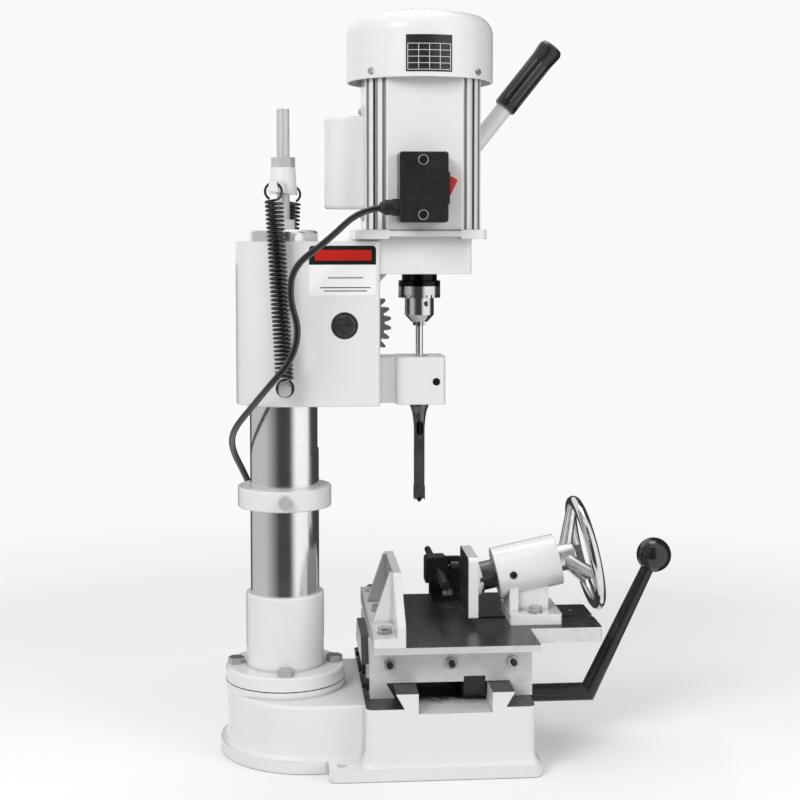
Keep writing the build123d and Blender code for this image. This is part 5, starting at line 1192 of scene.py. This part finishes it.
class MORTISER_OT_bright(bpy.types.Operator):
    """Ground, milled, plated and chromed metal"""
    bl_idname = "mortiser.bright"
    bl_label = "Bright metal"

    def execute(self, context):
        dress("ground", "column")
        dress("milled", "saddle", "table")
        dress("worn_and_shaded", "gib_strips")
        dress_where("table", "table", lambda c, n: n.z > FACING and c.z > TABLE_TOP_Z)
        # the slot in the table's top and the slides' undercuts are dark with oil; under the saddle
        # that dark is also painted shade
        dress_where("worn_and_shaded", "table", lambda c, n: TABLE_SLOT_Z < c.z < TABLE_TOP_Z
                    and abs(c.y) < TABLE_SLOT_Y or c.z < TABLE_SLOT_Z and n.z > TABLE_SLIDE)
        # painted shade and oil: the saddle's slanted and downward faces are dark
        dress_where("worn_and_shaded", "saddle", lambda c, n: SLANTED < n.z < FACING
                    or n.z < -FACING and c.z > SADDLE_FOOT_Z)
        dress("zinc", "socket_bolts", "tie_rods", "cover_screws", "table_bolts")
        dress("galvanised", "hanger_rod", "head_bolts")
        # the wheel's rim is polished, its hub and spokes are only brushed over
        dress("chrome", "handwheel")
        dress_where("satin", "handwheel",
                    lambda c, n: off_axis(c, WHEEL_AT, WHEEL_TILT) < WHEEL_RIM_R)
        dress("chuck", "chuck_body", "chuck_sleeve")
        # some screws are black: the chisel's clamp, the vise's key and the switch lid's
        dress_where("black", "head_bolts", lambda c, n: c.x > CLAMP_SCREW_X)
        dress_where("black", "table_bolts", lambda c, n: c.z > KEY_SCREW_Z)
        dress_where("black", "cover_screws", lambda c, n: c.y < LID_SCREW_Y)
        dress("tool", "motor_bearings")
        dress("auger", "auger")
        return {"FINISHED"}


class MORTISER_OT_dark(bpy.types.Operator):
    """Dark and blackened steel, and the motor's winding"""
    bl_idname = "mortiser.dark"
    bl_label = "Dark metal"

    def execute(self, context):
        dress("cut", "pinion_gear")
        dress("dark", "column_rack", "pinion_shaft", "chisel", "shaft_bushes", "jaw_quill",
              "vise_screw", "rotor")
        dress("black", "handle_hub", "lever_bar", "gib_screws", "stop_bracket", "stop_block",
              "stop_rod", "saddle_rack")
        # the front gib screws have plated nuts, and the quill's end by the jaw is painted
        dress_where("zinc", "gib_screws", on_front_nut)
        dress_where("enamel", "jaw_quill", lambda c, n: c.x < QUILL_PAINT_X)
        dress("winding", "stator")
        return {"FINISHED"}


class MORTISER_OT_plastics(bpy.types.Operator):
    """Switch, ball knob, grip and the motor's moulded pieces"""
    bl_idname = "mortiser.plastics"
    bl_label = "Plastic and rubber"

    def execute(self, context):
        dress("plastic", "switch_box", "switch_lid", "fan", "capacitor")
        dress("ball", "lever_ball")
        dress("rocker", "rocker")
        dress("rubber", "handle_grip")
        # painted highlight: the grip's long grooves are paler, for the highlight lines along it
        dress_where("grip_highlight", "handle_grip",
                    lambda c, n: off_axis(c, GRIP_FOOT, GRIP_TURN) < GRIP_SKIN_R)
        return {"FINISHED"}


# Stage


def lamp(name, place, width, power):
    """A round soft lamp that looks at the object"""
    data = bpy.data.lights.new(name, "AREA")
    data.shape = "DISK"
    data.size = width
    data.energy = power
    made = linked(name, data)
    made.location = place
    made.rotation_euler = (Vector(LAMP_AIM) - Vector(place)).to_track_quat("-Z", "Y").to_euler()


def seen(tree):
    """Whether a ray comes from the camera, or by way of metal or glass"""
    rays = node(tree, "ShaderNodeLightPath").outputs
    first = reckoned(tree, "MAXIMUM", rays["Is Camera Ray"], rays["Is Glossy Ray"])
    return reckoned(tree, "MAXIMUM", first, rays["Is Transmission Ray"])


def sky(scene, stage):
    """Even light from all round, in front of a pale backdrop"""
    scene.world = scene.world or bpy.data.worlds.new("studio")
    scene.world.use_nodes = True
    tree = scene.world.node_tree
    tree.nodes.clear()
    light = node(tree, "ShaderNodeBackground",
                 {"Color": (1, 1, 1, 1), "Strength": stage.ambient})
    shown = node(tree, "ShaderNodeBackground", {"Color": (*stage.pale, 1), "Strength": 1.0})
    both = node(tree, "ShaderNodeMixShader",
                {0: seen(tree), 1: light.outputs[0], 2: shown.outputs[0]})
    node(tree, "ShaderNodeOutputWorld", {"Surface": both.outputs[0]})


def floor(stage):
    """A pale floor that turns into the backdrop away from the object and its shadow"""
    form = bmesh.new()
    bmesh.ops.create_circle(form, cap_ends=True, segments=ROUND_POINTS, radius=FLOOR_R)
    made = formed("floor", form)
    made.location.z = FLOOR_Z - FLOOR_DROP
    material, tree, shader = finish("studio floor", specular=0.2)
    speck = group(tree, "Grain", Scale=3.0, Detail=3.0, Low=0.2, High=0.8)["Mask"]
    tone = mixed(tree, speck, shade(stage.pale, FLOOR_SPECK), shade(stage.pale, 1.0))
    tone = mixed(tree, seen(tree), shade(stage.pale, stage.bounce), tone)
    tree.links.new(tone, shader.inputs["Base Color"])
    shader.inputs["Roughness"].default_value = FLOOR_ROUGHNESS
    away = node(tree, "ShaderNodeVectorMath", {0: place_on(tree)}, operation="LENGTH")
    far = spread(tree, away.outputs["Value"], *FLOOR_FADE, ease="SMOOTHSTEP")
    far = reckoned(tree, "MULTIPLY", far, seen(tree))
    glow = node(tree, "ShaderNodeEmission", {"Color": (*stage.pale, 1)})
    both = node(tree, "ShaderNodeMixShader", {0: far, 1: shader.outputs[0], 2: glow.outputs[0]})
    tree.links.new(both.outputs[0], tree.nodes["Material Output"].inputs["Surface"])
    made.data.materials.append(material)


def screen(stage):
    """Studio screen with light and dark panels that only bright metal shows"""
    form = bmesh.new()
    turns = [2 * math.pi * n / ROUND_POINTS for n in range(ROUND_POINTS)]
    circles = [[form.verts.new((r * math.cos(a), r * math.sin(a), z)) for a in turns]
               for r, z in ((SCREEN_HOLE, FLOOR_Z), (SCREEN_R, FLOOR_Z), (SCREEN_R, SCREEN_TOP))]
    for inner, outer in zip(circles, circles[1:]):
        for n in range(ROUND_POINTS):
            m = (n + 1) % ROUND_POINTS
            form.faces.new((inner[m], inner[n], outer[n], outer[m]))
    made = formed("screen", form)
    material = bpy.data.materials.new("screen panels")
    material.use_nodes = True
    tree = material.node_tree
    tree.nodes.clear()
    round_it = node(tree, "ShaderNodeTexGradient", {"Vector": place_on(tree)},
                    gradient_type="RADIAL")
    panels = []
    for row in (1, 2):
        ramp = node(tree, "ShaderNodeValToRGB", {"Fac": round_it.outputs["Fac"]})
        marks = ramp.color_ramp.elements
        while len(marks) < len(SCREEN_PANELS):
            marks.new(1.0)
        for mark, panel in zip(marks, SCREEN_PANELS):
            level = stage.shade if panel[row] is None else panel[row]
            # the gradient's round begins a quarter turn before the front
            mark.position = panel[0] / 360.0 + 0.25
            mark.color = (level, level, level, 1)
        panels.append(ramp.outputs["Color"])
    glow = node(tree, "ShaderNodeEmission",
                {"Color": mixed(tree, above(tree, SCREEN_SPLIT), *panels)})
    node(tree, "ShaderNodeOutputMaterial", {"Surface": glow.outputs[0]})
    made.data.materials.append(material)
    made.visible_camera = made.visible_diffuse = False
    made.visible_shadow = made.visible_transmission = False


def camera(scene):
    """A camera a little left of the front, that looks slightly down"""
    data = bpy.data.cameras.new("camera")
    data.lens = CAMERA_LENS
    data.sensor_width = CAMERA_SENSOR
    data.shift_y = CAMERA_SHIFT
    data.clip_end = CAMERA_REACH
    made = linked("camera", data)
    made.location = CAMERA_AT
    made.rotation_euler = (math.radians(90.0 - CAMERA_DOWN), 0.0, math.radians(CAMERA_TURN))
    scene.camera = made


class MORTISER_OT_stage(bpy.types.Operator):
    """Floor, lamps and camera"""
    bl_idname = "mortiser.stage"
    bl_label = "Stage"

    def execute(self, context):
        scene = context.scene
        stage = scene.mortiser_stage
        scene.view_settings.view_transform = "Standard"
        for name, (place, width) in LAMPS.items():
            lamp(name, place, width, getattr(stage, name))
        sky(scene, stage)
        floor(stage)
        screen(stage)
        camera(scene)
        return {"FINISHED"}


class MORTISER_PT_panel(bpy.types.Panel):
    """Lists the mortiser's operators and its values"""
    bl_idname = "MORTISER_PT_panel"
    bl_label = "Mortiser"
    bl_space_type = "VIEW_3D"
    bl_region_type = "UI"
    bl_category = "Mortiser"

    def draw(self, context):
        layout = self.layout
        for operator in OPERATORS:
            layout.operator(operator.bl_idname)
        for name in GROUPED:
            values = getattr(context.scene, name)
            box = layout.box()
            for key in values.bl_rna.properties.keys():
                if key not in ("rna_type", "name"):
                    box.prop(values, key)


OPERATORS = (MORTISER_OT_stage, MORTISER_OT_cord, MORTISER_OT_springs, MORTISER_OT_castings,
             MORTISER_OT_bright, MORTISER_OT_dark, MORTISER_OT_plastics, MORTISER_OT_plates,
             MORTISER_OT_hardware)
GROUPED = {"mortiser_sizes": MortiserSizes, "mortiser_colours": MortiserColours,
           "mortiser_stage": MortiserStage}


def register():
    """Adds the classes, and the values to the scene"""
    for kind in (*GROUPED.values(), *OPERATORS, MORTISER_PT_panel):
        bpy.utils.register_class(kind)
    for name, kind in GROUPED.items():
        setattr(bpy.types.Scene, name, PointerProperty(type=kind))


def unregister():
    """Takes the values and the classes away again"""
    for name in GROUPED:
        delattr(bpy.types.Scene, name)
    for kind in (MORTISER_PT_panel, *reversed(OPERATORS), *reversed(GROUPED.values())):
        bpy.utils.unregister_class(kind)


def main():
    """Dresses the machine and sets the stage"""
    register()
    bpy.ops.mortiser.stage()
    bpy.ops.mortiser.cord()
    bpy.ops.mortiser.springs()
    bpy.ops.mortiser.castings()
    bpy.ops.mortiser.bright()
    bpy.ops.mortiser.dark()
    bpy.ops.mortiser.plastics()
    bpy.ops.mortiser.plates()
    bpy.ops.mortiser.hardware()


if __name__ == "__main__":
    main()
